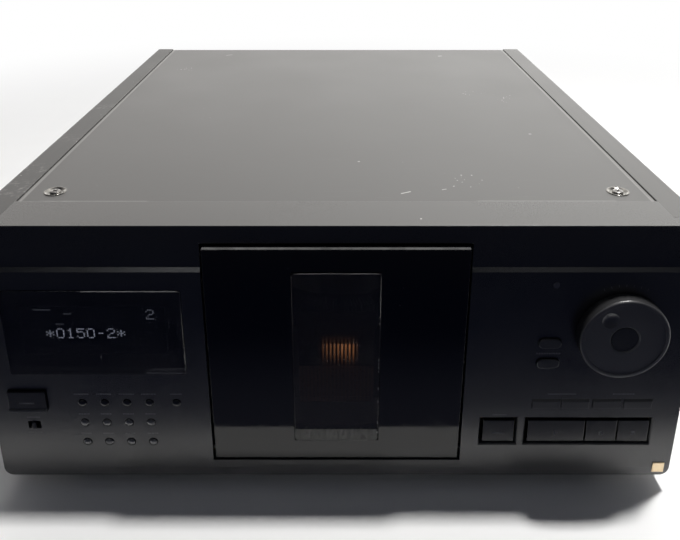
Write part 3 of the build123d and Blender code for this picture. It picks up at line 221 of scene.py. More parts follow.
def plate_marks_and_seam_highlight(finish):
    """Painted highlights along the top plate's side seams, groups of chips, and the pale marks of TOP_MARKS."""
    x, y = finish.axis("X"), finish.axis("Y")
    # painted highlight: a pale line along each side seam, where the stepped edge would catch the light
    painted_seam_highlight = x.math("ABSOLUTE", x, 0.0).between(193.8, 194.6) * (finish.noise(45.0, 3.0) * 0.6 + 0.4)
    yield painted_seam_highlight * 0.8, (0.30, 0.295, 0.285)
    for across, deep, reach in CHIPPED_SPOTS:
        near = 1 - ((x - across) ** 2.0 + (y - deep) ** 2.0).between((reach * 0.6) ** 2, reach**2)
        yield near * flakes(finish, 4.0, 0.17, 0.44, 6.0), (0.52, 0.51, 0.49)
    for across, deep, turn, length, wide, strength in TOP_MARKS:
        along = (x - across) * math.cos(turn) + (y - deep) * math.sin(turn)
        aside = (y - deep) * math.cos(turn) - (x - across) * math.sin(turn)
        inside = 1 - along.math("ABSOLUTE", along, 0.0).between(length * 0.45, length * 0.5)
        line = 1 - aside.math("ABSOLUTE", aside, 0.0).between(wide * 0.3, wide * 0.5)
        yield inside * line * (finish.noise(3.0, 3.0) * 0.8 + 0.4) * strength, (0.62, 0.61, 0.59)


def strip_scuffs(finish):
    """Pale scuffs along the left side panel, as from years of stacking."""
    y = finish.axis("Y")
    rubbed = finish.noise(3.0, 6.0).between(0.50, 0.72)
    for middle, reach, strength in ((-182.0, 22.0, 0.8), (-146.0, 14.0, 0.6), (-84.0, 10.0, 0.4), (-2.0, 14.0, 0.6)):
        near = y.between(middle - reach, middle) * (1 - y.between(middle, middle + reach))
        yield near * rubbed * strength, (0.20, 0.195, 0.19)
    yield flakes(finish, 6.0, 0.07, 0.55, 25.0), (0.6, 0.585, 0.56)


def smoked(name, tint, grime=0.02, edge=0.0):
    """Clear plastic dyed nearly black, polished, with faint wiping marks."""
    finish = Finish(name)
    wiped = finish.noise(14.0, 4.0).between(0.45, 0.8)
    colour = finish.blend(tint, [c * 1.3 for c in tint], finish.noise(30.0))
    height = {"Distance": 0.0008 * MM, "Height": finish.noise(3.0)}
    if edge:
        height["Normal"] = finish.softened(edge)[0]
    bumped = finish.node("ShaderNodeBump", None, height)
    varying = {"Base Color": colour, "Roughness": wiped * grime + 0.02, "Normal": bumped}
    return finish.surface(varying, transmission_weight=1.0, ior=1.49)


def glowing(name, colour, body, strength):
    """A lit phosphor: brighter in the middle of each cell and slightly uneven."""
    finish = Finish(name)
    uneven = finish.noise(0.6, 3.0)
    lit = finish.blend([c * 0.55 for c in colour], colour, uneven.between(0.3, 0.6))
    varying = {"Base Color": finish.blend(body, colour, uneven * 0.2), "Emission Color": lit}
    return finish.surface(varying, emission_strength=strength, roughness=0.6)


def lamp_amber(settings):
    """Amber lens: its ribs glow where the lamp lies behind them and fade downwards."""
    finish = Finish("ribbed_amber_lens")
    x, z = finish.axis("X"), finish.axis("Z") - PANEL_FOOT / MM
    pitch = RIB_PITCH
    ribs = (x - pitch / 2).wave(pitch) ** 1.6
    flicker = finish.noise(2.5, 3.0, finish.node("ShaderNodeMapping", None, {"Vector": finish.place, "Scale": (1.0, 1.0, 0.35)}))
    across = x.between(-11.0, -6.0) * (1 - x.between(9.5, 14.5))
    core = x.between(-8.0, 7.0) * (1 - x.between(8.0, 14.0)) * 0.6 + 0.4
    upright = z.between(78.0, 99.0) ** 2.6 * (1 - z.between(99.0, 101.0))
    tail = z.between(96.0, 100.0) * (1 - z.between(100.0, 108.0)) * 0.12
    amount = ribs * across * (upright * core * (flicker * 1.5 + 0.2) + tail)
    glow = finish.blend((0.0, 0.0, 0.0), tuple(settings.lamp_colour), amount)
    body = finish.blend((0.03, 0.012, 0.004), (0.10, 0.035, 0.008), ribs * finish.noise(6.0))
    varying = {"Base Color": body, "Emission Color": glow, "Roughness": finish.noise(1.0) * 0.2 + 0.2}
    return finish.surface(varying, emission_strength=settings.lamp_strength)


def printed(name, colour):
    """Thin ink, a little patchy."""
    finish = Finish(name)
    patch = finish.noise(0.5, 4.0)
    ink = finish.blend([c * 0.55 for c in colour], colour, patch.between(0.35, 0.6))
    return finish.surface({"Base Color": ink, "Roughness": patch * 0.3 + 0.4})


def circuit_lacquer(name, colour):
    """A lacquered board with copper runs under the lacquer."""
    finish = Finish(name)
    cells = finish.node(
        "ShaderNodeTexVoronoi",
        {"feature": "DISTANCE_TO_EDGE", "distance": "EUCLIDEAN"},
        {"Vector": finish.place, "Scale": 1 / (5 * MM)},
        "Distance",
    )
    runs = 1 - cells.between(0.05, 0.09)
    lacquer = finish.blend(colour, [c * 2.2 for c in colour], runs)
    lacquer = finish.blend(lacquer, [c * 0.6 for c in colour], finish.noise(30.0) * 0.5)
    bumped = finish.node("ShaderNodeBump", None, {"Distance": 0.03 * MM, "Height": runs})
    return finish.surface({"Base Color": lacquer, "Roughness": 0.5 - runs * 0.15, "Normal": bumped})


def dress(material, *nodes):
    """Gives CAD nodes a material, and says nothing else about them."""
    for node in nodes:
        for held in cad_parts[node].material_slots:
            held.material = material


# ---------------------------------------------------------------- meshes
def closed_mesh(name, bm):
    """A mesh from a bmesh whose faces all point outwards."""
    bmesh.ops.remove_doubles(bm, verts=bm.verts, dist=1e-7)
    bmesh.ops.recalc_face_normals(bm, faces=bm.faces)
    mesh = bpy.data.meshes.new(name)
    bm.to_mesh(mesh)
    bm.free()
    return mesh


def block(bm, centre, size, bevel=0.0, segments=2):
    """A box with rounded edges, added to a bmesh. Sizes are in millimetres."""
    made = bmesh.ops.create_cube(bm, size=1.0)
    for vert in made["verts"]:
        vert.co = Vector([(centre[i] + vert.co[i] * size[i]) * MM for i in range(3)])
    if bevel:
        edges = list({edge for vert in made["verts"] for edge in vert.link_edges})
        bmesh.ops.bevel(bm, geom=edges, offset=bevel * MM, segments=segments, profile=0.5, affect="EDGES")


def ring(bm, radius, z, sides, centre=(0.0, 0.0)):
    """A circle of vertices, in millimetres."""
    turns = [2 * math.pi * side / sides for side in range(sides)]
    return [
        bm.verts.new(((centre[0] + radius * math.cos(a)) * MM, (centre[1] + radius * math.sin(a)) * MM, z * MM))
        for a in turns
    ]


def skin(bm, lower, upper):
    """Faces between two loops of as many vertices."""
    count = len(lower)
    for i in range(count):
        j = (i + 1) % count
        bm.faces.new((lower[i], lower[j], upper[j], upper[i]))


def turned(bm, profile, sides=48):
    """A shape turned about Z from (radius, z) points; its first and last points lie on the axis or are capped."""
    loops = [ring(bm, max(radius, 0.001), z, sides) for radius, z in profile]
    for lower, upper in zip(loops, loops[1:]):
        skin(bm, lower, upper)
    bm.faces.new(loops[0])
    bm.faces.new(loops[-1])


def cross_recess(bm, rim, top, reach, arm, depth):
    """Closes a round rim with a face that has a cross-shaped pocket for a driver."""
    corners = [(arm, arm), (arm, reach), (-arm, reach), (-arm, arm), (-reach, arm), (-reach, -arm)]
    corners += [(-arm, -arm), (-arm, -reach), (arm, -reach), (arm, -arm), (reach, -arm), (reach, arm)]
    mouth = [bm.verts.new((x * MM, y * MM, top * MM)) for x, y in corners]
    floor = [bm.verts.new((x * 0.7 * MM, y * 0.7 * MM, (top - depth) * MM)) for x, y in corners]
    edges = [bm.edges.new((loop[i], loop[(i + 1) % len(loop)])) for loop in (mouth,) for i in range(len(loop))]
    edges += [bm.edges.get((rim[i], rim[(i + 1) % len(rim)])) for i in range(len(rim))]
    bmesh.ops.triangle_fill(bm, use_beauty=True, edges=edges)
    skin(bm, mouth, floor)
    bm.faces.new(floor)


def screw_head(radius, height, shank, length):
    """A domed screw head with a cross recess, on its shank, with its seat at z = 0."""
    bm = bmesh.new()
    profile = [(shank, -length), (shank, 0.0), (radius, 0.0), (radius, 0.45 * height), (radius * 0.93, 0.8 * height)]
    profile += [(radius * 0.78, height)]
    loops = [ring(bm, r, z, 32) for r, z in profile]
    for lower, upper in zip(loops, loops[1:]):
        skin(bm, lower, upper)
    bm.faces.new(loops[0])
    cross_recess(bm, loops[-1], height, radius * 0.6, radius * 0.13, height * 0.75)
    return bm


def shade_smooth(mesh, angle=35.0):
    """Smooth shading with sharp edges left sharp."""
    mesh.polygons.foreach_set("use_smooth", [True] * len(mesh.polygons))
    mesh.set_sharp_from_angle(angle=math.radians(angle))


def add_piece(name, mesh, body, material=None, replaces=()):
    """Puts a finished mesh in the scene and tells the frame what it rides on."""
    if not mesh.polygons:
        raise RuntimeError(f"{name} came out empty")
    if material:
        mesh.materials.clear()
        mesh.materials.append(material)
    piece = bpy.data.objects.new(name, mesh)
    bpy.context.scene.collection.objects.link(piece)
    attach(piece, body)
    if replaces:
        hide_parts(*replaces)
    return piece


# ---------------------------------------------------------------- geometry nodes
class Growth:
    """A geometry node tree under construction, with named inputs."""

    def __init__(self, name, inputs):
        self.group = bpy.data.node_groups.new(name, "GeometryNodeTree")
        face = self.group.interface
        face.new_socket("Geometry", in_out="INPUT", socket_type="NodeSocketGeometry")
        for label, kind in inputs.items():
            face.new_socket(label, in_out="INPUT", socket_type="NodeSocket" + kind)
        face.new_socket("Geometry", in_out="OUTPUT", socket_type="NodeSocketGeometry")
        self.inputs = self.group.nodes.new("NodeGroupInput")

    def node(self, kind, settings=None, sockets=None):
        item = self.group.nodes.new(kind)
        for key, value in (settings or {}).items():
            setattr(item, key, value)
        for key, value in (sockets or {}).items():
            if isinstance(value, bpy.types.NodeSocket):
                self.group.links.new(value, item.inputs[key])
            else:
                item.inputs[key].default_value = value
        return item

    def given(self, label):
        return self.inputs.outputs[label]

    def finish(self, instances):
        """Ends the tree: instances made real, then the material."""
        real = self.node("GeometryNodeRealizeInstances", None, {0: instances})
        dressed = self.node("GeometryNodeSetMaterial", None, {"Geometry": real.outputs[0], "Material": self.given("Finish")})
        self.node("NodeGroupOutput", None, {0: dressed.outputs[0]})
        return self.group


def copies_tree():
    """A shape on every point of a mesh, turned and scaled by the points' own values."""
    growth = Growth("copies on points", {"Shape": "Object", "Finish": "Material"})
    shape = growth.node("GeometryNodeObjectInfo", None, {"Object": growth.given("Shape")})
    turn = growth.node("GeometryNodeInputNamedAttribute", {"data_type": "FLOAT_VECTOR"}, {"Name": "turn"})
    size = growth.node("GeometryNodeInputNamedAttribute", {"data_type": "FLOAT_VECTOR"}, {"Name": "size"})
    rotation = growth.node("FunctionNodeEulerToRotation", None, {0: turn.outputs["Attribute"]})
    sockets = {
        "Points": growth.given("Geometry"),
        "Instance": shape.outputs["Geometry"],
        "Rotation": rotation.outputs[0],
        "Scale": size.outputs["Attribute"],
    }
    return growth.finish(growth.node("GeometryNodeInstanceOnPoints", None, sockets).outputs[0])


def row_tree():
    """A shape repeated along a straight line."""
    inputs = {"Count": "Int", "Start": "Vector", "Step": "Vector", "Shape": "Object", "Finish": "Material"}
    growth = Growth("copies in a row", inputs)
    sockets = {"Count": growth.given("Count"), "Start Location": growth.given("Start"), "Offset": growth.given("Step")}
    line = growth.node("GeometryNodeMeshLine", {"mode": "OFFSET", "count_mode": "TOTAL"}, sockets)
    shape = growth.node("GeometryNodeObjectInfo", None, {"Object": growth.given("Shape")})
    sockets = {"Points": line.outputs[0], "Instance": shape.outputs["Geometry"]}
    return growth.finish(growth.node("GeometryNodeInstanceOnPoints", None, sockets).outputs[0])


def grow(name, tree, start, values):
    """The plain mesh that a tree makes from a start mesh and the values of its named inputs."""
    seed = bpy.data.objects.new(name + "_seed", start)
    bpy.context.scene.collection.objects.link(seed)
    modifier = seed.modifiers.new("growth", "NODES")
    modifier.node_group = tree
    for item in tree.interface.items_tree:
        if item.in_out == "INPUT" and item.name in values:
            modifier[item.identifier] = values[item.name]
    depsgraph = bpy.context.evaluated_depsgraph_get()
    depsgraph.update()
    mesh = bpy.data.meshes.new_from_object(seed.evaluated_get(depsgraph))
    mesh.name = name
    seed.modifiers.remove(modifier)
    bpy.data.objects.remove(seed)
    return mesh


def shape_object(name, bm):
    """A helper object that a tree copies."""
    mesh = closed_mesh(name, bm)
    shade_smooth(mesh)
    helper = bpy.data.objects.new(name, mesh)
    bpy.context.scene.collection.objects.link(helper)
    return helper


def scatter(name, bm, spots, material):
    """Copies of a shape at (place, turn, size) spots. Places are in millimetres, and size may be left 1."""
    helper = shape_object(name + "_shape", bm)
    points = bpy.data.meshes.new(name + "_points")
    points.from_pydata([[c * MM for c in place] for place, _turn, _size in spots], [], [])
    for label, column in (("turn", 1), ("size", 2)):
        held = points.attributes.new(label, "FLOAT_VECTOR", "POINT")
        held.data.foreach_set("vector", [c for spot in spots for c in spot[column]])
    mesh = grow(name, tree_named("copies"), points, {"Shape": helper, "Finish": material})
    bpy.data.objects.remove(helper)
    return mesh


def repeat(name, bm, count, start, step, material):
    """Copies of a shape along a line, in millimetres."""
    helper = shape_object(name + "_shape", bm)
    values = {"Count": count, "Start": [c * MM for c in start], "Step": [c * MM for c in step]}
    values.update({"Shape": helper, "Finish": material})
    mesh = grow(name, tree_named("row"), bpy.data.meshes.new(name + "_start"), values)
    bpy.data.objects.remove(helper)
    return mesh


def tree_named(kind):
    """One of the two trees, made when it is first needed."""
    makers = {"copies": ("copies on points", copies_tree), "row": ("copies in a row", row_tree)}
    label, maker = makers[kind]
    return bpy.data.node_groups.get(label) or maker()


def joined(name, meshes):
    """Several meshes as one, keeping their materials."""
    bm = bmesh.new()
    materials = []
    for mesh in meshes:
        before = len(bm.faces)
        bm.from_mesh(mesh)
        bm.faces.ensure_lookup_table()
        own = list(mesh.materials)
        for face in bm.faces[before:]:
            material = own[face.material_index] if own else None
            if material not in materials:
                materials.append(material)
            face.material_index = materials.index(material)
    merged = bpy.data.meshes.new(name)
    bm.to_mesh(merged)
    bm.free()
    for material in materials:
        merged.materials.append(material)
    return merged


STRAIGHT = (0.0, 0.0, 0.0)
FULL = (1.0, 1.0, 1.0)
LIE_BACK = (math.pi / 2, 0.0, 0.0)  # a shape that stood on Z faces the front


def front(x, height, proud=0.0):
    """A place on the front, in millimetres from the middle and from the panel's lower edge."""
    return (x, PANEL_FACE / MM - proud, PANEL_FOOT / MM + height)


def dash_spots(x, height, width, tall, proud, seed, longest=1.5):
    """Short dashes of uneven length in a row, centred on a place on the front."""
    chance = random.Random(seed)
    spots, at = [], -width / 2
    while at < width / 2:
        long = min(chance.uniform(0.6, longest), width / 2 - at + 0.3)
        spots.append((front(x + at + long / 2, height, proud), STRAIGHT, (long, 1.0, tall)))
        at += long + 0.4
    return spots


def dot_spots(character, left, top, proud, size):
    """Places of the lit dots of one character, from its upper left dot."""
    cells = [(row, column) for row, bits in enumerate(DOTS[character]) for column, bit in enumerate(bits) if bit == "1"]
    return [(front(left + column, top - row * DOT_PITCH, proud), STRAIGHT, size) for row, column in cells]


def unit_plate(thickness=0.06):
    """A plate one millimetre wide and tall, seen from the front."""
    bm = bmesh.new()
    block(bm, (0, 0, 0), (1.0, thickness, 1.0), 0.02, 1)
    return bm


# ---------------------------------------------------------------- settings
def colour_property(name, description, default):
    return FloatVectorProperty(
        name=name, description=description, default=default, min=0.0, max=1.0, size=3, subtype="COLOR"
    )


class FinishSettings(bpy.types.PropertyGroup):
    """Colours of the changer's finishes."""

    paint: colour_property("Case paint", "Satin paint of the top and the sides", (0.062, 0.060, 0.0575))
    panel: colour_property("Front panel", "Moulded plastic of the front panel", (0.013, 0.013, 0.0155))
    door: colour_property("Door", "Gloss of the front door", (0.0025, 0.0025, 0.003))
    keys: colour_property("Keys", "Plastic of the keys and buttons", (0.007, 0.007, 0.0085))
    dial: colour_property("Dial", "Plastic of the jog dial", (0.075, 0.075, 0.080))
    legend: colour_property("Legends", "Ink of the printed marks", (0.19, 0.19, 0.20))
    badge: colour_property("Badge", "Plain gold badge", (0.82, 0.66, 0.44))
    phosphor: colour_property("Display glow", "Light of the display's characters", (0.86, 0.93, 1.0))
    lamp_colour: colour_property("Lamp glow", "Light of the amber lens", (1.0, 0.42, 0.16))
    lamp_strength: FloatProperty(
        name="Lamp strength", description="How brightly the amber lens glows", default=3.0, min=0.0, max=50.0
    )
    phosphor_strength: FloatProperty(
        name="Display strength", description="How brightly the display glows", default=4.2, min=0.0, max=50.0
    )


class DetailSettings(bpy.types.PropertyGroup):
    """Sizes of the pieces that are added to the changer."""

    readout: StringProperty(name="Readout", description="Digits, stars and dashes in the display", default="*0150-2*")
    cell_width: FloatProperty(
        name="Dot width", description="Width of one dot of the display", default=0.00068, min=0.0001, unit="LENGTH"
    )
    cell_height: FloatProperty(
        name="Dot height", description="Height of one dot of the display", default=0.0007, min=0.0001, unit="LENGTH"
    )
    badge_size: FloatProperty(
        name="Badge size", description="Side of the square badge", default=0.0076, min=0.001, unit="LENGTH"
    )
    laminations: IntProperty(
        name="Laminations", description="Plates in the transformer's core", default=56, min=4, max=120
    )


class StageSettings(bpy.types.PropertyGroup):
    """The camera and the light around the changer."""

    focal_length: FloatProperty(
        name="Focal length", description="Camera's focal length", default=37.42, min=1.0, unit="CAMERA"
    )
    tilt: FloatProperty(
        name="Tilt", description="How far the camera looks down", default=math.radians(19.15), subtype="ANGLE"
    )
    eye: FloatVectorProperty(
        name="Eye", description="Where the camera stands", default=(0.0022, -0.5954, 0.3712), subtype="TRANSLATION"
    )
    rise: FloatProperty(name="Rise", description="Vertical shift of the picture", default=-0.2, min=-1.0, max=1.0)
    table_edge: FloatProperty(
        name="Table edge", description="Where the table ends ahead of the changer", default=-0.2885, unit="LENGTH"
    )


# ---------------------------------------------------------------- operators
class DressCase(bpy.types.Operator):
    """Paints the top, the sides and the base, and makes the screws and the feet"""

    bl_idname = "changer.dress_case"
    bl_label = "Case"

    def execute(self, context):
        colours = context.scene.changer_finishes
        satin = {"mottle": 0.12, "grain": 0.45, "depth": 0.006, "dust": 0.6, "worn": (0.30, 0.29, 0.28)}
        paint = coated(
            "satin_case_paint", tuple(colours.paint), 0.40, scratches=0.12, rub_and_highlight=0.8, edge=0.5, drift=90.0,
            specular_ior_level=0.8, patches=plate_marks_and_seam_highlight, **satin,
        )
        dress(paint, "top_plate")
        sides = coated(
            "side_panel_paint", tuple(colours.paint), 0.40, scratches=0.15, rub_and_highlight=0.8, edge=0.5, drift=90.0,
            specular_ior_level=0.8, **satin,
        )
        dress(sides, "right_side_panel")
        # painted shade: the left side panel gets a darker copy of the case paint for the shade on that side; its scuffs
        # are wear
        shaded_scuffed_paint = coated(
            "shaded_scuffed_case_paint", [c * 0.72 for c in colours.paint], 0.44, scratches=0.25, rub_and_highlight=1.0, edge=0.7,
            drift=60.0, specular_ior_level=0.6, patches=strip_scuffs, **satin,
        )
        dress(shaded_scuffed_paint, "left_side_panel")
        plated = coated(
            "zinc_plated_steel", (0.46, 0.45, 0.42), 0.36, mottle=0.16, grain=1.2, depth=0.003, scratches=0.2,
            edge=0.3, drift=12.0, metallic=1.0,
        )
        dress(plated, "base_chassis", "mechanism_frame")
        rear = coated(
            "painted_rear_steel", (0.028, 0.028, 0.028), 0.45, mottle=0.1, grain=0.6, depth=0.008, scratches=0.12,
            rub_and_highlight=0.6, edge=0.3,
        )
        dress(rear, "rear_panel")
        self.make_screws()
        self.make_feet()
        return {"FINISHED"}

    def make_screws(self):
        cup_metal = coated(
            "nickel_cup", (0.30, 0.29, 0.27), 0.18, grain=0.3, scratches=0.2, rub_and_highlight=0.6, worn=(0.7, 0.68, 0.65),
            edge=0.25, drift=3.0, metallic=1.0,
        )
        screw_metal = coated(
            "dark_nickel_screw", (0.30, 0.29, 0.28), 0.30, grain=0.25, depth=0.002, scratches=0.3, edge=0.15,
            metallic=1.0,
        )
        low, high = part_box("top_screws")
        rim = 7.0
        spots = [(x, low.y / MM + rim) for x in (low.x / MM + rim, high.x / MM - rim)]
        seat = 187.8
        cup = bmesh.new()
        section = [(1.7, 0.0), (4.6, 0.0), (6.2, 1.2), (7.0, 1.2), (7.0, 1.45), (6.85, 1.65), (6.5, 1.74), (6.1, 1.62)]
        section += [(4.9, 0.72), (4.4, 0.5), (1.7, 0.5)]
        loops = [ring(cup, r, z, 48) for r, z in section]
        for lower, upper in zip(loops, loops[1:] + loops[:1]):
            skin(cup, lower, upper)
        cups = [((x, y, seat), STRAIGHT, FULL) for x, y in spots]
        chance = random.Random(5)
        screws = [((x, y, seat + 0.5), (0.0, 0.0, chance.uniform(0, 1.5)), FULL) for x, y in spots]
        head = screw_head(3.4, 1.5, 1.6, 5.5)
        made = joined(
            "top_fasteners", [scatter("cups", cup, cups, cup_metal), scatter("heads", head, screws, screw_metal)]
        )
        add_piece("top_fasteners", made, "case", None, ["top_screws"])
        low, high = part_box("rear_screws")
        head_radius = 3.0
        spots = [
            ((x, low.y / MM, z), (-math.pi / 2, 0.0, 0.0), FULL)
            for x in (low.x / MM + head_radius, high.x / MM - head_radius)
            for z in (low.z / MM + head_radius, high.z / MM - head_radius)
        ]
        made = scatter("rear_fasteners", screw_head(head_radius, 1.6, 1.5, 0.6), spots, screw_metal)
        add_piece("rear_fasteners", made, "case", None, ["rear_screws"])

    def make_feet(self):
        rubber = coated(
            "moulded_foot_plastic", (0.012, 0.012, 0.012), 0.55, grain=0.8, depth=0.01, dust=0.6, rub_and_highlight=0.3, edge=0.4
        )
        bm = bmesh.new()
        profile = [(3.0, 3.5), (3.0, 2.6), (15.5, 2.2), (16.5, 0.4), (17.2, 0.0), (21.3, 0.0), (21.8, 0.2), (22.1, 0.7)]
        profile += [(22.5, 3.0), (22.2, 3.3), (22.2, 4.1), (22.7, 4.4), (23.9, 11.2), (23.7, 11.5), (3.0, 11.5)]
        turned(bm, profile, 64)
        low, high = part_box("feet")
        wide = 24.0
        spots = [
            ((x, y, 0.0), STRAIGHT, FULL)
            for x in (low.x / MM + wide, high.x / MM - wide)
            for y in (low.y / MM + wide, high.y / MM - wide)
        ]
        add_piece("foot_set", scatter("foot_set", bm, spots, rubber), "case", None, ["feet"])


class DressFront(bpy.types.Operator):
    """Finishes the front panel, prints its marks and fits the badge"""

    bl_idname = "changer.dress_front"
    bl_label = "Front panel"

    def execute(self, context):
        colours = context.scene.changer_finishes
        panel = coated(
            "front_panel_plastic", tuple(colours.panel), 0.29, mottle=0.12, grain=0.35, depth=0.004, scratches=0.05,
            dust=0.25, rub_and_highlight=0.35, worn=(0.06, 0.06, 0.065), edge=0.45, drift=60.0, specular_ior_level=0.88,
            patches=self.lip_paint_and_foot_reflection,
        )
        dress(panel, "front_panel")
        ink = printed("legend_ink", tuple(colours.legend))
        spots = []
        for column in SMALL_COLUMNS:
            for row, height in enumerate(SMALL_ROWS):
                wide = 9.0 if row == 0 else 6.5
                spots += dash_spots(column, height + 6.5, wide, 0.9, 0.0, seed=int(height + column))
        spots += dash_spots(EXTRA_COLUMN, SMALL_ROWS[0] + 6.5, 7.0, 0.9, 0.0, 7)
        spots += dash_spots(-190.2, 46.2, 8.0, 0.8, 0.0, 3)
        spots += dash_spots(-190.2, 34.6, 9.0, 0.8, 0.0, 4)
        spots += dash_spots(128.6, 93.6, 15.0, 1.1, 0.0, 11)
        spots += dash_spots(139.6, 63.8, 17.0, 0.8, 0.0, 13)
        spots += dash_spots(177.9, 63.8, 13.0, 0.8, 0.0, 15)
        spots += dash_spots(102.2, 48.0, 8.0, 0.8, 0.0, 14)
        spots += self.scale_round_dial()
        add_piece("panel_legends", scatter("panel_legends", unit_plate(), spots, ink), "case")
        self.make_badge(context)
        return {"FINISHED"}

    def lip_paint_and_foot_reflection(self, finish):
        """The foot of the panel is painted paler as a painted reflection of the bright floor, and the lip over the top
        carries the case's paint with a few chips.
        """
        z = finish.axis("Z")
        # painted reflection: the lowest part of the panel is made paler, standing in for the bright floor it mirrors
        yield 1 - z.between(13.0, 22.0), (0.055, 0.055, 0.058)
        upwards = finish.node("ShaderNodeNewGeometry", out="Normal")
        upwards = finish.node("ShaderNodeSeparateXYZ", None, {0: upwards}, "Z").between(0.6, 0.9)
        lip = z.between(188.8, 189.4) * upwards
        yield lip, tuple(bpy.context.scene.changer_finishes.paint)
        yield lip * flakes(finish, 22.0, 0.03, 0.56, 70.0), (0.7, 0.68, 0.65)

    def scale_round_dial(self):
        """Short ticks on an arc above the dial."""
        spots = []
        for turn in (-24, -16, -8, 0, 8, 16, 24):
            angle = math.radians(90 - turn)
            x, height = 169.8 + 31.5 * math.cos(angle), 109.0 + 31.5 * math.sin(angle)
            spots.append((front(x, height), (0.0, math.radians(turn), 0.0), (0.35, 1.0, 1.6)))
        return spots

    def make_badge(self, context):
        gold = coated(
            "brushed_gold_plate", tuple(context.scene.changer_finishes.badge), 0.34, mottle=0.10, grain=0.2,
            depth=0.002, scratches=0.25, worn=(0.95, 0.8, 0.55), edge=0.12, drift=4.0, metallic=1.0,
        )
        side = context.scene.changer_details.badge_size / MM
        bm = bmesh.new()
        x, y, z = front(207.4, 6.8)
        block(bm, (x, y - 0.25, z), (side, 0.5, side), 0.18)
        mesh = closed_mesh("plain_badge", bm)
        raised = bmesh.new()
        inner = side - 1.2
        for along in (-1, 1):
            block(raised, (x, y - 0.55, z + along * inner / 2), (inner + 0.35, 0.16, 0.35), 0.06, 1)
            block(raised, (x + along * inner / 2, y - 0.55, z), (0.35, 0.16, inner - 0.35), 0.06, 1)
        frame_mesh = closed_mesh("badge_border", raised)
        for part in (mesh, frame_mesh):
            part.materials.append(gold)
        made = joined("plain_badge", [mesh, frame_mesh])
        add_piece("plain_badge", made, "case")


class DressDisplay(bpy.types.Operator):
    """Smoked window, display tube and the lit characters"""

    bl_idname = "changer.dress_display"
    bl_label = "Display"

    def execute(self, context):
        colours = context.scene.changer_finishes
        dress(smoked("smoked_display_window", (0.05, 0.05, 0.058)), "display_window")
        eye = coated("sensor_filter", (0.10, 0.10, 0.12), 0.16, mottle=0.1, grain=0.4, depth=0.001, edge=0.3)
        dress(eye, "sensor_window")
        self.make_mask()
        self.make_tube()
        self.make_characters(context, tuple(colours.phosphor), colours.phosphor_strength)
        return {"FINISHED"}

    def make_mask(self):
        """A matt black card between the window and the board, open round the tube."""
        card = coated("mask_card", (0.004, 0.004, 0.005), 0.75, grain=0.4, depth=0.01, edge=0.1)
        low, high = (Vector(c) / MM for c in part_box("display_window"))
        tube_low, tube_high = (Vector(c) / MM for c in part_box("display_tube"))
        clear, thick = 0.5, 0.4
        y = high.y + 0.2 + thick / 2
        left, right, bottom, top = low.x + 1, high.x - 1, low.z + 1, high.z - 1
        hole_left, hole_right = tube_low.x - clear, tube_high.x + clear
        hole_bottom, hole_top = tube_low.z - clear, tube_high.z + clear
        bm = bmesh.new()
        tall = top - bottom
        for x0, x1 in ((left, hole_left), (hole_right, right)):
            block(bm, ((x0 + x1) / 2, y, (bottom + top) / 2), (x1 - x0, thick, tall), 0.05, 1)
        for z0, z1 in ((bottom, hole_bottom), (hole_top, top)):
            wide = hole_right - hole_left
            block(bm, ((hole_left + hole_right) / 2, y, (z0 + z1) / 2), (wide, thick, z1 - z0), 0.05, 1)
        add_piece("display_mask", closed_mesh("display_mask", bm), "case", card)

    def make_tube(self):
        """An envelope with a frit border and a row of pins along the back of its lower edge."""
        low, high = (Vector(c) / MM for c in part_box("display_tube"))
        middle = (low + high) / 2
        size = high - low
        glassy = coated("display_tube_glass", (0.006, 0.007, 0.009), 0.12, grain=2.0, depth=0.001, edge=0.2)
        frit = coated("display_tube_frit", (0.05, 0.055, 0.06), 0.5, grain=0.4, depth=0.01, edge=0.2)
        face, rim = low.y + 0.5, 0.6
        body = bmesh.new()
        block(body, (middle.x, (face + high.y) / 2, middle.z), (size.x - 0.4, high.y - face, size.z - 0.4), 0.4)
        border = bmesh.new()
        for sign in (-1, 1):
            block(border, (middle.x, face, middle.z + sign * (size.z - rim) / 2), (size.x, 0.4, rim), 0.1)
            block(border, (middle.x + sign * (size.x - rim) / 2, face, middle.z), (rim, 0.4, size.z - 2 * rim), 0.1)
        parts = []
        for bm, material in ((body, glassy), (border, frit)):
            mesh = closed_mesh("tube_part", bm)
            mesh.materials.append(material)
            parts.append(mesh)
        pin = bmesh.new()
        block(pin, (0, 0, 0), (0.4, 0.5, 2.6), 0.08, 1)
        metal = coated("tinned_wire", (0.7, 0.69, 0.66), 0.3, edge=0.1, metallic=1.0)
        count = 40
        step = (size.x - 8) / (count - 1)
        start = (low.x + 4, high.y - 1.0, low.z + 0.4)
        parts.append(repeat("tube_pins", pin, count, start, (step, 0, 0), metal))
        add_piece("display_envelope", joined("display_envelope", parts), "case", None, ["display_tube"])

    def make_characters(self, context, colour, strength):
        details = context.scene.changer_details
        lit = glowing("lit_phosphor", colour, (0.02, 0.03, 0.04), strength)
        dim = glowing("dim_phosphor", colour, (0.02, 0.03, 0.04), strength * 0.42)
        faint = glowing("faint_phosphor", colour, (0.02, 0.03, 0.04), strength * 0.15)
        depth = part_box("display_tube")[0].y / MM + 0.4 - PANEL_FACE / MM
        size = (details.cell_width / MM, 1.0, details.cell_height / MM)
        spots = []
        for place, character in enumerate(details.readout):
            spots += dot_spots(character, -174.85 + place * 6.12, 108.9, -depth, size)
        add_piece("display_readout", scatter("display_readout", unit_plate(), spots, lit), "case")
        spots = dot_spots(details.readout[-2], -113.7, 122.0, -depth, size)
        add_piece("display_track_digit", scatter("display_track_digit", unit_plate(), spots, dim), "case")
        spots = []
        for x, height, wide, seed in ((-175.7, 122.2, 10.0, 21), (-161.1, 119.4, 4.2, 22), (-166.4, 112.3, 4.6, 23)):
            spots += dash_spots(x, height, wide, 1.0, -depth, seed, longest=1.1)
        add_piece("display_marks", scatter("display_marks", unit_plate(), spots, faint), "case")


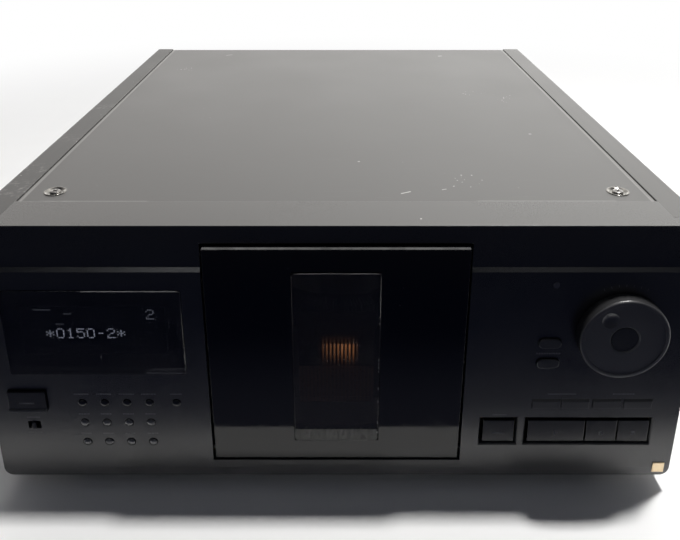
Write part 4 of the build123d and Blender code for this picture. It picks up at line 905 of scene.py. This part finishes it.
class DressDoor(bpy.types.Operator):
    """Gloss door, its smoked window and the ribbed amber lens behind it"""

    bl_idname = "changer.dress_door"
    bl_label = "Door"

    def execute(self, context):
        colours = context.scene.changer_finishes
        gloss = coated(
            "gloss_door_plastic", tuple(colours.door), 0.06, mottle=0.1, grain=6.0, depth=0.0008, scratches=0.05,
            dust=0.35, rub_and_highlight=0.25, worn=(0.08, 0.08, 0.085), edge=0.35, smudges=0.03,
        )
        dress(gloss, "door_panel")
        dress(smoked("smoked_door_window", (0.06, 0.057, 0.057), edge=0.4), "door_window")
        self.make_lens(lamp_amber(colours))
        self.make_flecks()
        return {"FINISHED"}

    def make_flecks(self):
        """Pale specks along the window's right edge."""
        fleck_finish = coated("pale_window_flecks_finish", (0.30, 0.30, 0.30), 0.4, mottle=0.2, grain=0.2, edge=0.05)
        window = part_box("door_window")
        x, y = window[1].x / MM - 3.0 + 0.1, window[0].y / MM + 0.6
        chance = random.Random(17)
        spots = []
        for height in (37.0, 44.5, 60.5, 70.0, 82.5, 85.5, 88.0, 91.0, 116.5, 121.0):
            size = (0.35, 0.9, chance.uniform(0.5, 1.8))
            spots.append(((x, y, PANEL_FOOT / MM + height), (0.0, chance.uniform(-0.2, 0.2), 0.0), size))
        bm = bmesh.new()
        block(bm, (0, 0, 0), (1.0, 1.0, 1.0), 0.25, 2)
        add_piece("window_edge_flecks", scatter("window_edge_flecks", bm, spots, fleck_finish), "front_door")

    def make_lens(self, amber):
        """The lens plate and its ribs, a hair behind the window so that the two don't share a face."""
        low, high = (Vector(c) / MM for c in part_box("window_lamp"))
        lamp_strip = 4.0
        bottom, top = low.z + lamp_strip, high.z
        lean = math.atan2(2.2, 151.5)
        middle_z = (bottom + top) / 2
        rib = bmesh.new()
        tall = top - bottom
        ridge = [(-0.55, 0.0), (-0.3, 0.42), (0.0, 0.55), (0.3, 0.42), (0.55, 0.0)]
        ends = [[rib.verts.new((x * MM, y * MM, z * MM)) for x, y in ridge] for z in (-tall / 2, tall / 2)]
        skin(rib, ends[0], ends[1])
        for end in ends:
            rib.faces.new(end)
        rib_face = low.y + 1.05
        count = RIB_COUNT
        first = -(count - 1) / 2 * RIB_PITCH
        ribs = repeat("lens_ribs", rib, count, (first, 0, 0), (RIB_PITCH, 0, 0), amber)
        plate = bmesh.new()
        block(plate, (0, -0.45, 0), (46.0, 0.9, tall), 0.15)
        block(plate, (0, 0.0, -tall / 2 - lamp_strip / 2), (45.0, 1.5, lamp_strip - 0.2), 0.3)
        body = closed_mesh("lens_plate", plate)
        body.materials.append(amber)
        made = joined("amber_lens", [body, ribs])
        share = (0.5, middle_z)
        made.transform(
            Matrix.Translation((0, (rib_face + share[0]) * MM, middle_z * MM)) @ Matrix.Rotation(-lean, 4, "X")
        )
        add_piece("amber_lens", made, "front_door", None, ["window_lamp"])


class DressKeys(bpy.types.Operator):
    """Finishes every key and button, and prints the marks that they carry"""

    bl_idname = "changer.dress_keys"
    bl_label = "Keys"

    def execute(self, context):
        colours = context.scene.changer_finishes
        # the pale rubbed edges of these keys are wear and also painted highlights along their edges
        plastic = coated(
            "key_plastic", tuple(colours.keys), 0.24, mottle=0.12, grain=0.3, depth=0.003, scratches=0.04, dust=0.2,
            rub_and_highlight=0.9, worn=(0.19, 0.19, 0.20), edge=0.35, drift=12.0, specular_ior_level=0.6, patches=self.power_lip_highlight,
        )
        satin = coated(
            "satin_key_plastic", tuple(colours.keys), 0.33, mottle=0.12, grain=0.3, depth=0.003, dust=0.2,
            rub_and_highlight=0.5, worn=(0.13, 0.13, 0.135), edge=0.35, drift=12.0, specular_ior_level=0.95,
        )
        names = [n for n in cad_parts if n.endswith(("_key", "_button")) or n.startswith("small_key")]
        names = [n for n in names if n != "enter_button"]
        dress(plastic, *names)
        dress(satin, *[n for n in names if n.startswith(("skip_", "scan_")) or n.endswith("oval_key")])
        polished = coated(
            "polished_switch_knob", (0.004, 0.004, 0.005), 0.12, mottle=0.1, grain=0.4, depth=0.001, edge=0.25
        )
        dress(polished, "timer_switch")
        self.make_small_keys()
        ink = printed("key_mark_ink", [c * 0.9 for c in colours.legend])
        middle, lean = 34.4, math.atan2(0.6, 15.5)
        proud = 0.2 + (43.7 - middle) * math.tan(lean) + 0.01
        tilted = (-lean, 0.0, 0.0)
        spot = [(front(138.6, middle, proud), tilted, FULL)]
        self.mark("play_mark", "play_button", scatter("play_mark", self.triangle(), spot, ink), ink)
        spots = [(front(167.1 + side * 0.75, middle, proud), tilted, (0.7, 1.0, 2.6)) for side in (-1, 1)]
        self.mark("pause_mark", "pause_button", scatter("pause_mark", unit_plate(), spots, ink), ink)
        spot = [(front(187.3, middle, proud), tilted, (2.3, 1.0, 2.3))]
        self.mark("stop_mark", "stop_button", scatter("stop_mark", unit_plate(), spot, ink), ink)
        spots = [(place, tilted, size) for place, _turn, size in dash_spots(102.2, middle, 8.5, 1.1, proud, 31)]
        self.mark("open_mark", "open_button", scatter("open_mark", unit_plate(), spots, ink), ink)
        spots = dash_spots(-191.6, 58.6, 9.5, 0.9, 2.2, 32)
        self.mark("power_mark", "power_button", scatter("power_mark", unit_plate(), spots, ink), ink)
        return {"FINISHED"}

    def power_lip_highlight(self, finish):
        """The power button's lower lip, painted lighter as a painted highlight."""
        across, up = finish.axis("X"), finish.axis("Z")
        strip = up.between(64.1, 64.3) * (1 - up.between(65.5, 65.9))
        # painted highlight: a pale strip along the power button's lower lip
        yield (1 - across.between(-179.8, -179.4)) * strip * 0.9, (0.11, 0.11, 0.115)

    def make_small_keys(self):
        """Round keys with polished crowns: the top row black, the others a lighter grey, a painted reflection of the
        bright table ahead.
        """
        black = coated(
            "polished_black_cap", (0.006, 0.006, 0.008), 0.12, mottle=0.1, grain=0.4, depth=0.001, edge=0.2, ior=1.6
        )
        # painted reflection: the lower two rows get a lighter copy of the cap plastic, standing in for the bright table
        # they mirror
        painted_reflection_grey = coated(
            "painted_reflection_grey_cap", (0.085, 0.085, 0.080), 0.18, mottle=0.1, grain=0.25, depth=0.001, edge=0.2,
            ior=2.0, drift=2.0,
        )
        for number in range(1, 14):
            name = f"small_key_{number}"
            low, high = (Vector(c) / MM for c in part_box(name))
            deep = high.y - low.y
            crown = [(2.6, -1.0), (2.58, -0.75), (2.35, -0.52), (2.0, -0.34), (1.5, -0.18), (0.9, -0.06), (0.3, 0.0)]
            stem = [(1.2, -deep), (1.2, -deep + 2.4), (3.8, -deep + 2.4), (3.8, -deep + 3.6), (2.6, -deep + 3.6)]
            bm = bmesh.new()
            turned(bm, stem + crown, 32)
            place = (((low.x + high.x) / 2, low.y, (low.z + high.z) / 2), LIE_BACK, FULL)
            mesh = scatter(name + "_cap", bm, [place], black if number <= 5 else painted_reflection_grey)
            add_piece(name + "_cap", mesh, name, None, [name])

    def mark(self, name, body, mesh, ink):
        add_piece(name, mesh, body, ink)

    def triangle(self):
        bm = bmesh.new()
        corners = [(-1.3, -1.5), (-1.3, 1.5), (1.4, 0.0)]
        loops = [[bm.verts.new((x * MM, y * MM, z * MM)) for x, z in corners] for y in (-0.03, 0.03)]
        skin(bm, *loops)
        for loop in loops:
            bm.faces.new(loop)
        return bm


class DressDial(bpy.types.Operator):
    """Finishes the jog dial and its centre button"""

    bl_idname = "changer.dress_dial"
    bl_label = "Dial"

    def execute(self, context):
        colours = context.scene.changer_finishes
        # the dial's pale rubbed edges are wear and also a painted highlight along its rim
        plastic = coated(
            "dial_plastic", tuple(colours.dial), 0.38, mottle=0.08, grain=0.3, depth=0.003, scratches=0.05, dust=0.15,
            rub_and_highlight=0.6, worn=(0.24, 0.24, 0.25), edge=0.35, drift=15.0, specular_ior_level=0.75,
            patches=self.dial_shade_and_highlight,
        )
        dress(plastic, "jog_dial")
        centre = coated(
            "enter_plastic", [c * 0.55 for c in colours.dial], 0.30, mottle=0.08, grain=0.3, depth=0.002, rub_and_highlight=0.3,
            worn=(0.1, 0.1, 0.1), edge=0.3, drift=8.0,
        )
        dress(centre, "enter_button")
        return {"FINISHED"}

    def dial_shade_and_highlight(self, finish):
        """The dial's side is painted darker than its face as painted shade, and a ring round the centre button is
        painted lighter as a painted highlight.
        """
        low, high = (Vector(c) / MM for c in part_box("jog_dial"))
        middle = (low + high) / 2
        radius = (high.x - low.x) / 2
        away = (finish.axis("X") - middle.x) ** 2.0 + (finish.axis("Z") - middle.z) ** 2.0
        # painted shade: the dial's side darkened
        yield away.between((radius - 0.4) ** 2, (radius - 0.2) ** 2) * 0.75, (0.006, 0.006, 0.007)
        bore = 8.25
        edge = away.between(bore**2, (bore + 0.15) ** 2) * (1 - away.between((bore + 0.7) ** 2, (bore + 1.0) ** 2))
        # painted highlight: a pale ring round the centre button
        yield edge * 0.8, (0.14, 0.14, 0.145)


class DressCarousel(bpy.types.Operator):
    """Finishes the carousel, its bearing and its drive"""

    bl_idname = "changer.dress_carousel"
    bl_label = "Carousel"

    def execute(self, context):
        tray = coated(
            "carousel_tray_plastic", (0.020, 0.020, 0.021), 0.42, grain=0.6, depth=0.006, scratches=0.1, rub_and_highlight=0.3,
            worn=(0.10, 0.10, 0.10), edge=0.25, drift=50.0,
        )
        dress(tray, "carousel_tray", "outer_disc_rack", "inner_disc_rack")
        bearing = coated(
            "bearing_plastic", (0.55, 0.54, 0.50), 0.38, mottle=0.05, grain=0.8, depth=0.004, edge=0.3, drift=40.0
        )
        dress(bearing, "carousel_bearing")
        gear = coated("acetal_gear", (0.68, 0.67, 0.62), 0.33, mottle=0.05, grain=0.8, depth=0.003, edge=0.2)
        dress(gear, "drive_gear")
        can = coated(
            "motor_can_steel", (0.50, 0.49, 0.47), 0.30, mottle=0.08, grain=0.4, depth=0.002, scratches=0.2,
            edge=0.3, metallic=1.0,
        )
        dress(can, "carousel_motor", "spindle_motor")
        return {"FINISHED"}


class DressMechanism(bpy.types.Operator):
    """Finishes the playing mechanism and adds its lens and turntable ring"""

    bl_idname = "changer.dress_mechanism"
    bl_label = "Mechanism"

    def execute(self, context):
        moulded = coated(
            "mechanism_plastic", (0.030, 0.030, 0.031), 0.40, grain=0.5, depth=0.005, rub_and_highlight=0.3,
            worn=(0.14, 0.14, 0.14), edge=0.3,
        )
        dress(moulded, "pickup_sled", "clamp_arm", "loading_arm", "turntable")
        rods = coated(
            "ground_rod_steel", (0.75, 0.74, 0.72), 0.14, mottle=0.04, grain=0.3, depth=0.001, scratches=0.2,
            edge=0.1, metallic=1.0,
        )
        dress(rods, "guide_rods")
        self.make_lens()
        self.make_grip_ring()
        return {"FINISHED"}

    def make_lens(self):
        """The objective lens, a small dome in its ring, on the sled's barrel."""
        glass = smoked("objective_lens_glass", (0.30, 0.42, 0.62))
        low, high = (Vector(c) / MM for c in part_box("pickup_sled"))
        bm = bmesh.new()
        profile = [(2.9, 0.0), (2.9, 0.5), (2.7, 0.62), (2.2, 0.62), (2.1, 0.5), (1.9, 0.72), (1.4, 0.98), (0.8, 1.12)]
        profile += [(0.2, 1.17)]
        turned(bm, profile, 32)
        place = ((high.x, (low.y + high.y) / 2, (low.z + high.z) / 2), (0.0, math.pi / 2, 0.0), FULL)
        add_piece("pickup_lens", scatter("pickup_lens", bm, [place], glass), "pickup_sled")

    def make_grip_ring(self):
        """A rubber ring that the disc sits on."""
        rubber = coated("grip_rubber", (0.06, 0.055, 0.05), 0.7, grain=0.2, depth=0.01, edge=0.1)
        low, high = (Vector(c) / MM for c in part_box("turntable"))
        bm = bmesh.new()
        section = [(10.5, -0.2), (14.2, -0.2), (14.2, 0.25), (14.0, 0.45), (10.7, 0.45), (10.5, 0.25)]
        loops = [ring(bm, r, z, 64) for r, z in section]
        for lower, upper in zip(loops, loops[1:] + loops[:1]):
            skin(bm, lower, upper)
        face = high.x - 2.2
        place = ((face, (low.y + high.y) / 2, (low.z + high.z) / 2), (0.0, math.pi / 2, 0.0), FULL)
        add_piece("turntable_ring", scatter("turntable_ring", bm, [place], rubber), "turntable")


class DressElectronics(bpy.types.Operator):
    """Finishes the boards and sockets, and adds the parts that sit on them"""

    bl_idname = "changer.dress_electronics"
    bl_label = "Electronics"

    def execute(self, context):
        lacquer = circuit_lacquer("board_lacquer", (0.30, 0.20, 0.08))
        dress(lacquer, "front_circuit_board", "main_circuit_board")
        self.make_components()
        self.make_transformer(context.scene.changer_details.laminations)
        self.make_sockets()
        return {"FINISHED"}

    def make_components(self):
        """Capacitors and resistors on the main board, clear of its chips and sockets."""
        can = coated("capacitor_sleeve", (0.015, 0.02, 0.05), 0.3, mottle=0.2, grain=0.5, edge=0.2)
        beige = coated("resistor_body", (0.55, 0.38, 0.22), 0.45, mottle=0.2, grain=0.4, edge=0.1, drift=3.0)
        low, high = (Vector(c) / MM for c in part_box("main_circuit_board"))
        top = low.z + 22.3
        chance = random.Random(9)
        bm = bmesh.new()
        profile = [(3.8, 0.0), (4.0, 0.3), (4.0, 1.2), (3.7, 1.5), (4.0, 1.8), (4.0, 10.6), (3.7, 11.0), (3.2, 11.0)]
        profile += [(3.1, 10.8), (0.5, 10.8)]
        turned(bm, profile, 28)
        spots = []
        for x in (44, 56, 150, 160, 170, 181, 190):
            for y in (225.0, 213.0):
                scale = chance.choice((0.8, 1.0, 1.15))
                spots.append(((x + chance.uniform(-1, 1), y, top), STRAIGHT, (scale, scale, scale)))
        capacitors = scatter("capacitors", bm, spots, can)
        bm = bmesh.new()
        turned(bm, [(0.3, -4.5), (0.3, -2.4), (1.1, -2.2), (1.2, -1.6), (0.95, -1.2), (0.95, 1.2), (1.2, 1.6), (1.1, 2.2), (0.3, 2.4), (0.3, 4.5)], 12)
        spots = []
        for x in range(74, 96, 4):
            for y in (206.0, 218.0, 229.0):
                spots.append(((x, y, top + 1.3), LIE_BACK, FULL))
        resistors = scatter("resistors", bm, spots, beige)
        made = joined("board_components", [capacitors, resistors])
        add_piece("board_components", made, "case")

    def make_transformer(self, count):
        """A stack of frame-shaped plates round a taped coil."""
        low, high = (Vector(c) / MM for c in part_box("power_transformer"))
        steel = coated(
            "lamination_steel", (0.16, 0.155, 0.15), 0.45, mottle=0.2, grain=0.5, edge=0.1, drift=6.0, metallic=0.8
        )
        tape = coated("coil_tape", (0.55, 0.36, 0.03), 0.35, mottle=0.15, grain=1.5, depth=0.02, edge=0.4, drift=8.0)
        width, tall = high.x - low.x, high.z - low.z
        hole_width, hole_tall = 31.0, 35.0
        depth = 42.0
        start = (low.y + high.y) / 2 - depth / 2
        pitch = depth / count
        bm = bmesh.new()
        outer = [(-width / 2, 0), (width / 2, 0), (width / 2, tall), (-width / 2, tall)]
        edge = (tall - hole_tall) / 2
        inner = [(-hole_width / 2, edge), (hole_width / 2, edge), (hole_width / 2, edge + hole_tall)]
        inner += [(-hole_width / 2, edge + hole_tall)]
        sheets = []
        for y in (0.0, pitch * 0.72):
            sheets.append([[bm.verts.new((x * MM, y * MM, z * MM)) for x, z in loop] for loop in (outer, inner)])
        (outer_a, inner_a), (outer_b, inner_b) = sheets
        skin(bm, outer_a, outer_b)
        skin(bm, inner_a, inner_b)
        skin(bm, outer_a, inner_a)
        skin(bm, outer_b, inner_b)
        middle = (low.x + high.x) / 2
        stack = repeat("laminations", bm, count, (middle, start, low.z), (0, pitch, 0), steel)
        coil = bmesh.new()
        block(
            coil, (middle, (low.y + high.y) / 2, (low.z + high.z) / 2), (30.0, high.y - low.y - 1, 34.0), 2.5, 4
        )
        wound = closed_mesh("coil", coil)
        wound.materials.append(tape)
        made = joined("mains_transformer", [stack, wound])
        add_piece("mains_transformer", made, "case", None, ["power_transformer"])

    def make_sockets(self):
        """Coloured rings at the line sockets and a bright liner in each."""
        black = coated("socket_plastic", (0.014, 0.014, 0.014), 0.42, grain=0.5, depth=0.005, edge=0.25)
        dress(black, "output_jacks", "ac_inlet")
        low, high = (Vector(c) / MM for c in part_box("output_jacks"))
        bright = coated("tinned_contact", (0.8, 0.78, 0.74), 0.2, edge=0.1, metallic=1.0)
        for name, x, colour in (("right_jack", 126.0, (0.5, 0.02, 0.015)), ("left_jack", 110.0, (0.7, 0.68, 0.62))):
            tint = coated(name + "_ring", colour, 0.4, mottle=0.06, grain=0.5, edge=0.15)
            bm = bmesh.new()
            section = [(4.3, 0.0), (6.4, 0.0), (6.4, 0.9), (6.1, 1.2), (4.6, 1.2), (4.3, 0.9)]
            loops = [ring(bm, r, z, 40) for r, z in section]
            for lower, upper in zip(loops, loops[1:] + loops[:1]):
                skin(bm, lower, upper)
            turn = (-math.pi / 2, 0.0, 0.0)
            collar = scatter(name, bm, [((x, high.y - 8.0, 44.0), turn, FULL)], tint)
            bm = bmesh.new()
            section = [(2.6, 0.0), (4.22, 0.0), (4.22, 7.1), (4.0, 7.4), (2.9, 7.4), (2.6, 7.1)]
            loops = [ring(bm, r, z, 40) for r, z in section]
            for lower, upper in zip(loops, loops[1:] + loops[:1]):
                skin(bm, lower, upper)
            sleeve = scatter(name + "_sleeve", bm, [((x, high.y - 7.4, 44.0), turn, FULL)], bright)
            add_piece(name + "_trim", joined(name + "_trim", [collar, sleeve]), "case")


class SetStage(bpy.types.Operator):
    """Floor, light and camera"""

    bl_idname = "changer.set_stage"
    bl_label = "Stage"

    def execute(self, context):
        stage = context.scene.changer_stage
        context.scene.view_settings.view_transform = "Standard"
        self.make_floor()
        self.make_dark_room(stage.table_edge)
        self.make_world(context)
        self.make_lamps()
        self.make_camera(context, stage)
        return {"FINISHED"}

    def plane(self, name, x_range, y_range, z, material):
        corners = [(x, y, z) for x in x_range for y in y_range]
        mesh = bpy.data.meshes.new(name)
        mesh.from_pydata([corners[i] for i in (0, 2, 3, 1)], [], [(0, 1, 2, 3)])
        mesh.materials.append(material)
        item = bpy.data.objects.new(name, mesh)
        bpy.context.scene.collection.objects.link(item)
        return item

    def make_floor(self):
        finish = Finish("pale_table")
        seen = finish.node("ShaderNodeLightPath", out="Is Camera Ray")
        mirrored = finish.node("ShaderNodeLightPath", out="Is Glossy Ray")
        through = finish.node("ShaderNodeLightPath", out="Is Transmission Ray")
        distance = finish.node("ShaderNodeVectorMath", {"operation": "LENGTH"}, {0: finish.place}, "Value")
        far = distance.between(0.45, 1.3) * (seen + mirrored + through)
        colour = finish.blend((0.86, 0.86, 0.865), (0.90, 0.90, 0.90), finish.noise(60.0, 3.0))
        matt = finish.node("ShaderNodeBsdfDiffuse", None, {"Color": colour})
        white = finish.node("ShaderNodeEmission", None, {"Color": (1, 1, 1, 1), "Strength": 1.0})
        mixed = finish.node("ShaderNodeMixShader", None, {0: far, 1: matt, 2: white})
        finish.node("ShaderNodeOutputMaterial", None, {"Surface": mixed})
        self.plane("floor", (-9.0, 9.0), (-9.0, 9.0), 0.0, finish.material)

    def make_dark_room(self, edge):
        """What the front mirrors beyond the table: a dim glowing sheet, painted shade for the dark room, that
        reflections and diffuse light meet but the camera doesn't.
        """
        finish = Finish("dim_room")
        away = edge / MM - finish.axis("Y")
        shade = finish.blend((0.085, 0.090, 0.135), (0.011, 0.016, 0.042), away.between(5.0, 120.0))
        shade = finish.blend(shade, (0.034, 0.036, 0.052), away.between(150.0, 320.0))
        glow = finish.node("ShaderNodeEmission", None, {"Color": shade, "Strength": 1.0})
        finish.node("ShaderNodeOutputMaterial", None, {"Surface": glow})
        sheet = self.plane("dim_room", (-6.0, 6.0), (-6.0, edge), 0.0005, finish.material)
        for kind in ("camera", "transmission", "volume_scatter", "shadow"):
            setattr(sheet, "visible_" + kind, False)

    def make_world(self, context):
        world = bpy.data.worlds.new("soft_studio")
        context.scene.world = world
        world.use_nodes = True
        sky = Shader(world.node_tree)
        way = sky.node("ShaderNodeTexCoord", out="Generated")
        x = sky.node("ShaderNodeSeparateXYZ", None, {0: way}, "X")
        y = sky.node("ShaderNodeSeparateXYZ", None, {0: way}, "Y")
        seen = sky.node("ShaderNodeLightPath", out="Is Camera Ray")
        through = sky.node("ShaderNodeLightPath", out="Is Transmission Ray")
        z = sky.node("ShaderNodeSeparateXYZ", None, {0: way}, "Z")
        to_right = x.between(-0.5, 0.35)
        low_wall = sky.blend((1.85, 1.81, 1.76), (2.45, 2.42, 2.36), to_right)
        high_wall = sky.blend((0.62, 0.60, 0.59), (1.30, 1.29, 1.26), to_right)
        wall = sky.blend(low_wall, high_wall, z.between(0.14, 0.42) * (1 - z.between(0.7, 0.95)))
        room = sky.blend((0.016, 0.018, 0.028), wall, y.between(0.2, 0.6))
        light = sky.blend(room, (1.0, 1.0, 1.0), seen.larger(through))
        glow = sky.node("ShaderNodeBackground", None, {"Color": light, "Strength": 1.0})
        sky.node("ShaderNodeOutputWorld", None, {"Surface": glow})

    def make_lamps(self):
        lamps = (
            ("overhead", (0.52, -0.005, 1.9), 0.12, 0.12, 39.0, (1.0, 0.99, 0.97)),
            ("ceiling_strip", (0.0, -0.245, 1.9), 0.95, 0.045, 0.45, (1.0, 0.99, 0.97)),
            ("front_strip", (-0.17, -1.19, 1.69), 1.26, 0.05, 0.44, (0.95, 0.97, 1.0)),
            ("side_glint", (0.6, -1.43, 0.96), 0.5, 0.2, 0.18, (0.97, 0.98, 1.0)),
            ("glint", (-0.40, -1.43, 0.96), 0.2, 0.2, 0.45, (0.97, 0.98, 1.0)),
        )
        for name, place, wide, deep, power, colour in lamps:
            data = bpy.data.lights.new(name, "AREA")
            data.shape = "RECTANGLE"
            data.size = wide
            data.size_y = deep
            data.energy = power
            data.color = colour
            lamp = bpy.data.objects.new(name, data)
            bpy.context.scene.collection.objects.link(lamp)
            lamp.location = place
            aim = Vector((place[0], 0.0, 0.1)) - Vector(place)
            lamp.rotation_euler = aim.to_track_quat("-Z", "Y").to_euler()

    def make_camera(self, context, stage):
        data = bpy.data.cameras.new("photographer")
        data.lens = stage.focal_length
        data.sensor_width = 36.0
        data.shift_y = stage.rise
        data.clip_start = 0.01
        camera = bpy.data.objects.new("photographer", data)
        context.scene.collection.objects.link(camera)
        camera.location = stage.eye
        camera.rotation_euler = (math.pi / 2 - stage.tilt, 0.0, 0.0)
        context.scene.camera = camera


# ---------------------------------------------------------------- places and patterns
SMALL_COLUMNS = (-158.3, -144.4, -130.5, -116.5)
EXTRA_COLUMN = -99.7
SMALL_ROWS = (57.2, 42.2, 27.2)
RIB_PITCH = 2.3
RIB_COUNT = 20
DOTS = {
    "*": ("00000", "00100", "10101", "01110", "10101", "00100", "00000"),
    "-": ("00000", "00000", "00000", "01110", "00000", "00000", "00000"),
    "0": ("01110", "10001", "10001", "10001", "10001", "10001", "01110"),
    "1": ("00100", "01100", "00100", "00100", "00100", "00100", "01110"),
    "2": ("01110", "10001", "00001", "00110", "01000", "10000", "11111"),
    "3": ("01110", "10001", "00001", "00110", "00001", "10001", "01110"),
    "4": ("00010", "00110", "01010", "10010", "11111", "00010", "00010"),
    "5": ("11111", "10000", "11110", "00001", "00001", "10001", "01110"),
    "6": ("00110", "01000", "10000", "11110", "10001", "10001", "01110"),
    "7": ("11111", "00001", "00010", "00100", "01000", "01000", "01000"),
    "8": ("01110", "10001", "10001", "01110", "10001", "10001", "01110"),
    "9": ("01110", "10001", "10001", "01111", "00001", "00010", "01100"),
    " ": ("00000",) * 7,
}
DOT_PITCH = 1.02
# across, depth and reach of each group of chips in the top plate's paint
CHIPPED_SPOTS = ((83.0, -163.0, 16.0), (128.0, 48.0, 14.0), (149.0, 30.0, 18.0), (-160.0, 140.0, 14.0))
# pale marks on the top plate: across, depth, turn, length, width and strength; the last two are long lines just behind
# the seam with the front lip
TOP_MARKS = (
    (44.0, -184.0, 0.45, 7.5, 1.1, 1.0),
    (69.0, -179.0, 0.35, 3.5, 0.9, 0.8),
    (15.5, -130.0, 0.0, 1.6, 1.4, 0.9),
    (151.5, -70.7, 0.0, 2.2, 2.2, 0.6),
    (117.4, 203.0, 0.3, 5.0, 3.0, 0.7),
    (-126.0, 208.0, 0.5, 8.0, 3.0, 0.35),
    (-150.0, -197.0, 0.0, 70.0, 0.9, 0.25),
    (130.0, -196.6, 0.0, 90.0, 0.9, 0.22),
)

STEPS = (
    DressCase, DressFront, DressDisplay, DressDoor, DressKeys, DressDial, DressCarousel, DressMechanism,
    DressElectronics, SetStage,
)


class ChangerPanel(bpy.types.Panel):
    """Lists the steps that dress the changer"""

    bl_idname = "VIEW3D_PT_changer"
    bl_label = "Disc Changer"
    bl_space_type = "VIEW_3D"
    bl_region_type = "UI"
    bl_category = "Disc Changer"

    def draw(self, context):
        for group in ("changer_finishes", "changer_details", "changer_stage"):
            held = getattr(context.scene, group)
            for name in held.bl_rna.properties.keys():
                if name not in ("name", "rna_type"):
                    self.layout.prop(held, name)
        for step in STEPS:
            self.layout.operator(step.bl_idname)


GROUPS = (
    ("changer_finishes", FinishSettings), ("changer_details", DetailSettings), ("changer_stage", StageSettings)
)


def register():
    for name, group in GROUPS:
        bpy.utils.register_class(group)
        setattr(bpy.types.Scene, name, PointerProperty(type=group))
    for item in (*STEPS, ChangerPanel):
        bpy.utils.register_class(item)


def unregister():
    for item in (ChangerPanel, *reversed(STEPS)):
        bpy.utils.unregister_class(item)
    for name, group in reversed(GROUPS):
        delattr(bpy.types.Scene, name)
        bpy.utils.unregister_class(group)


def main():
    """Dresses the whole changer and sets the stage."""
    register()
    for step in STEPS:
        family, action = step.bl_idname.split(".")
        getattr(getattr(bpy.ops, family), action)()


if __name__ == "__main__":
    main()
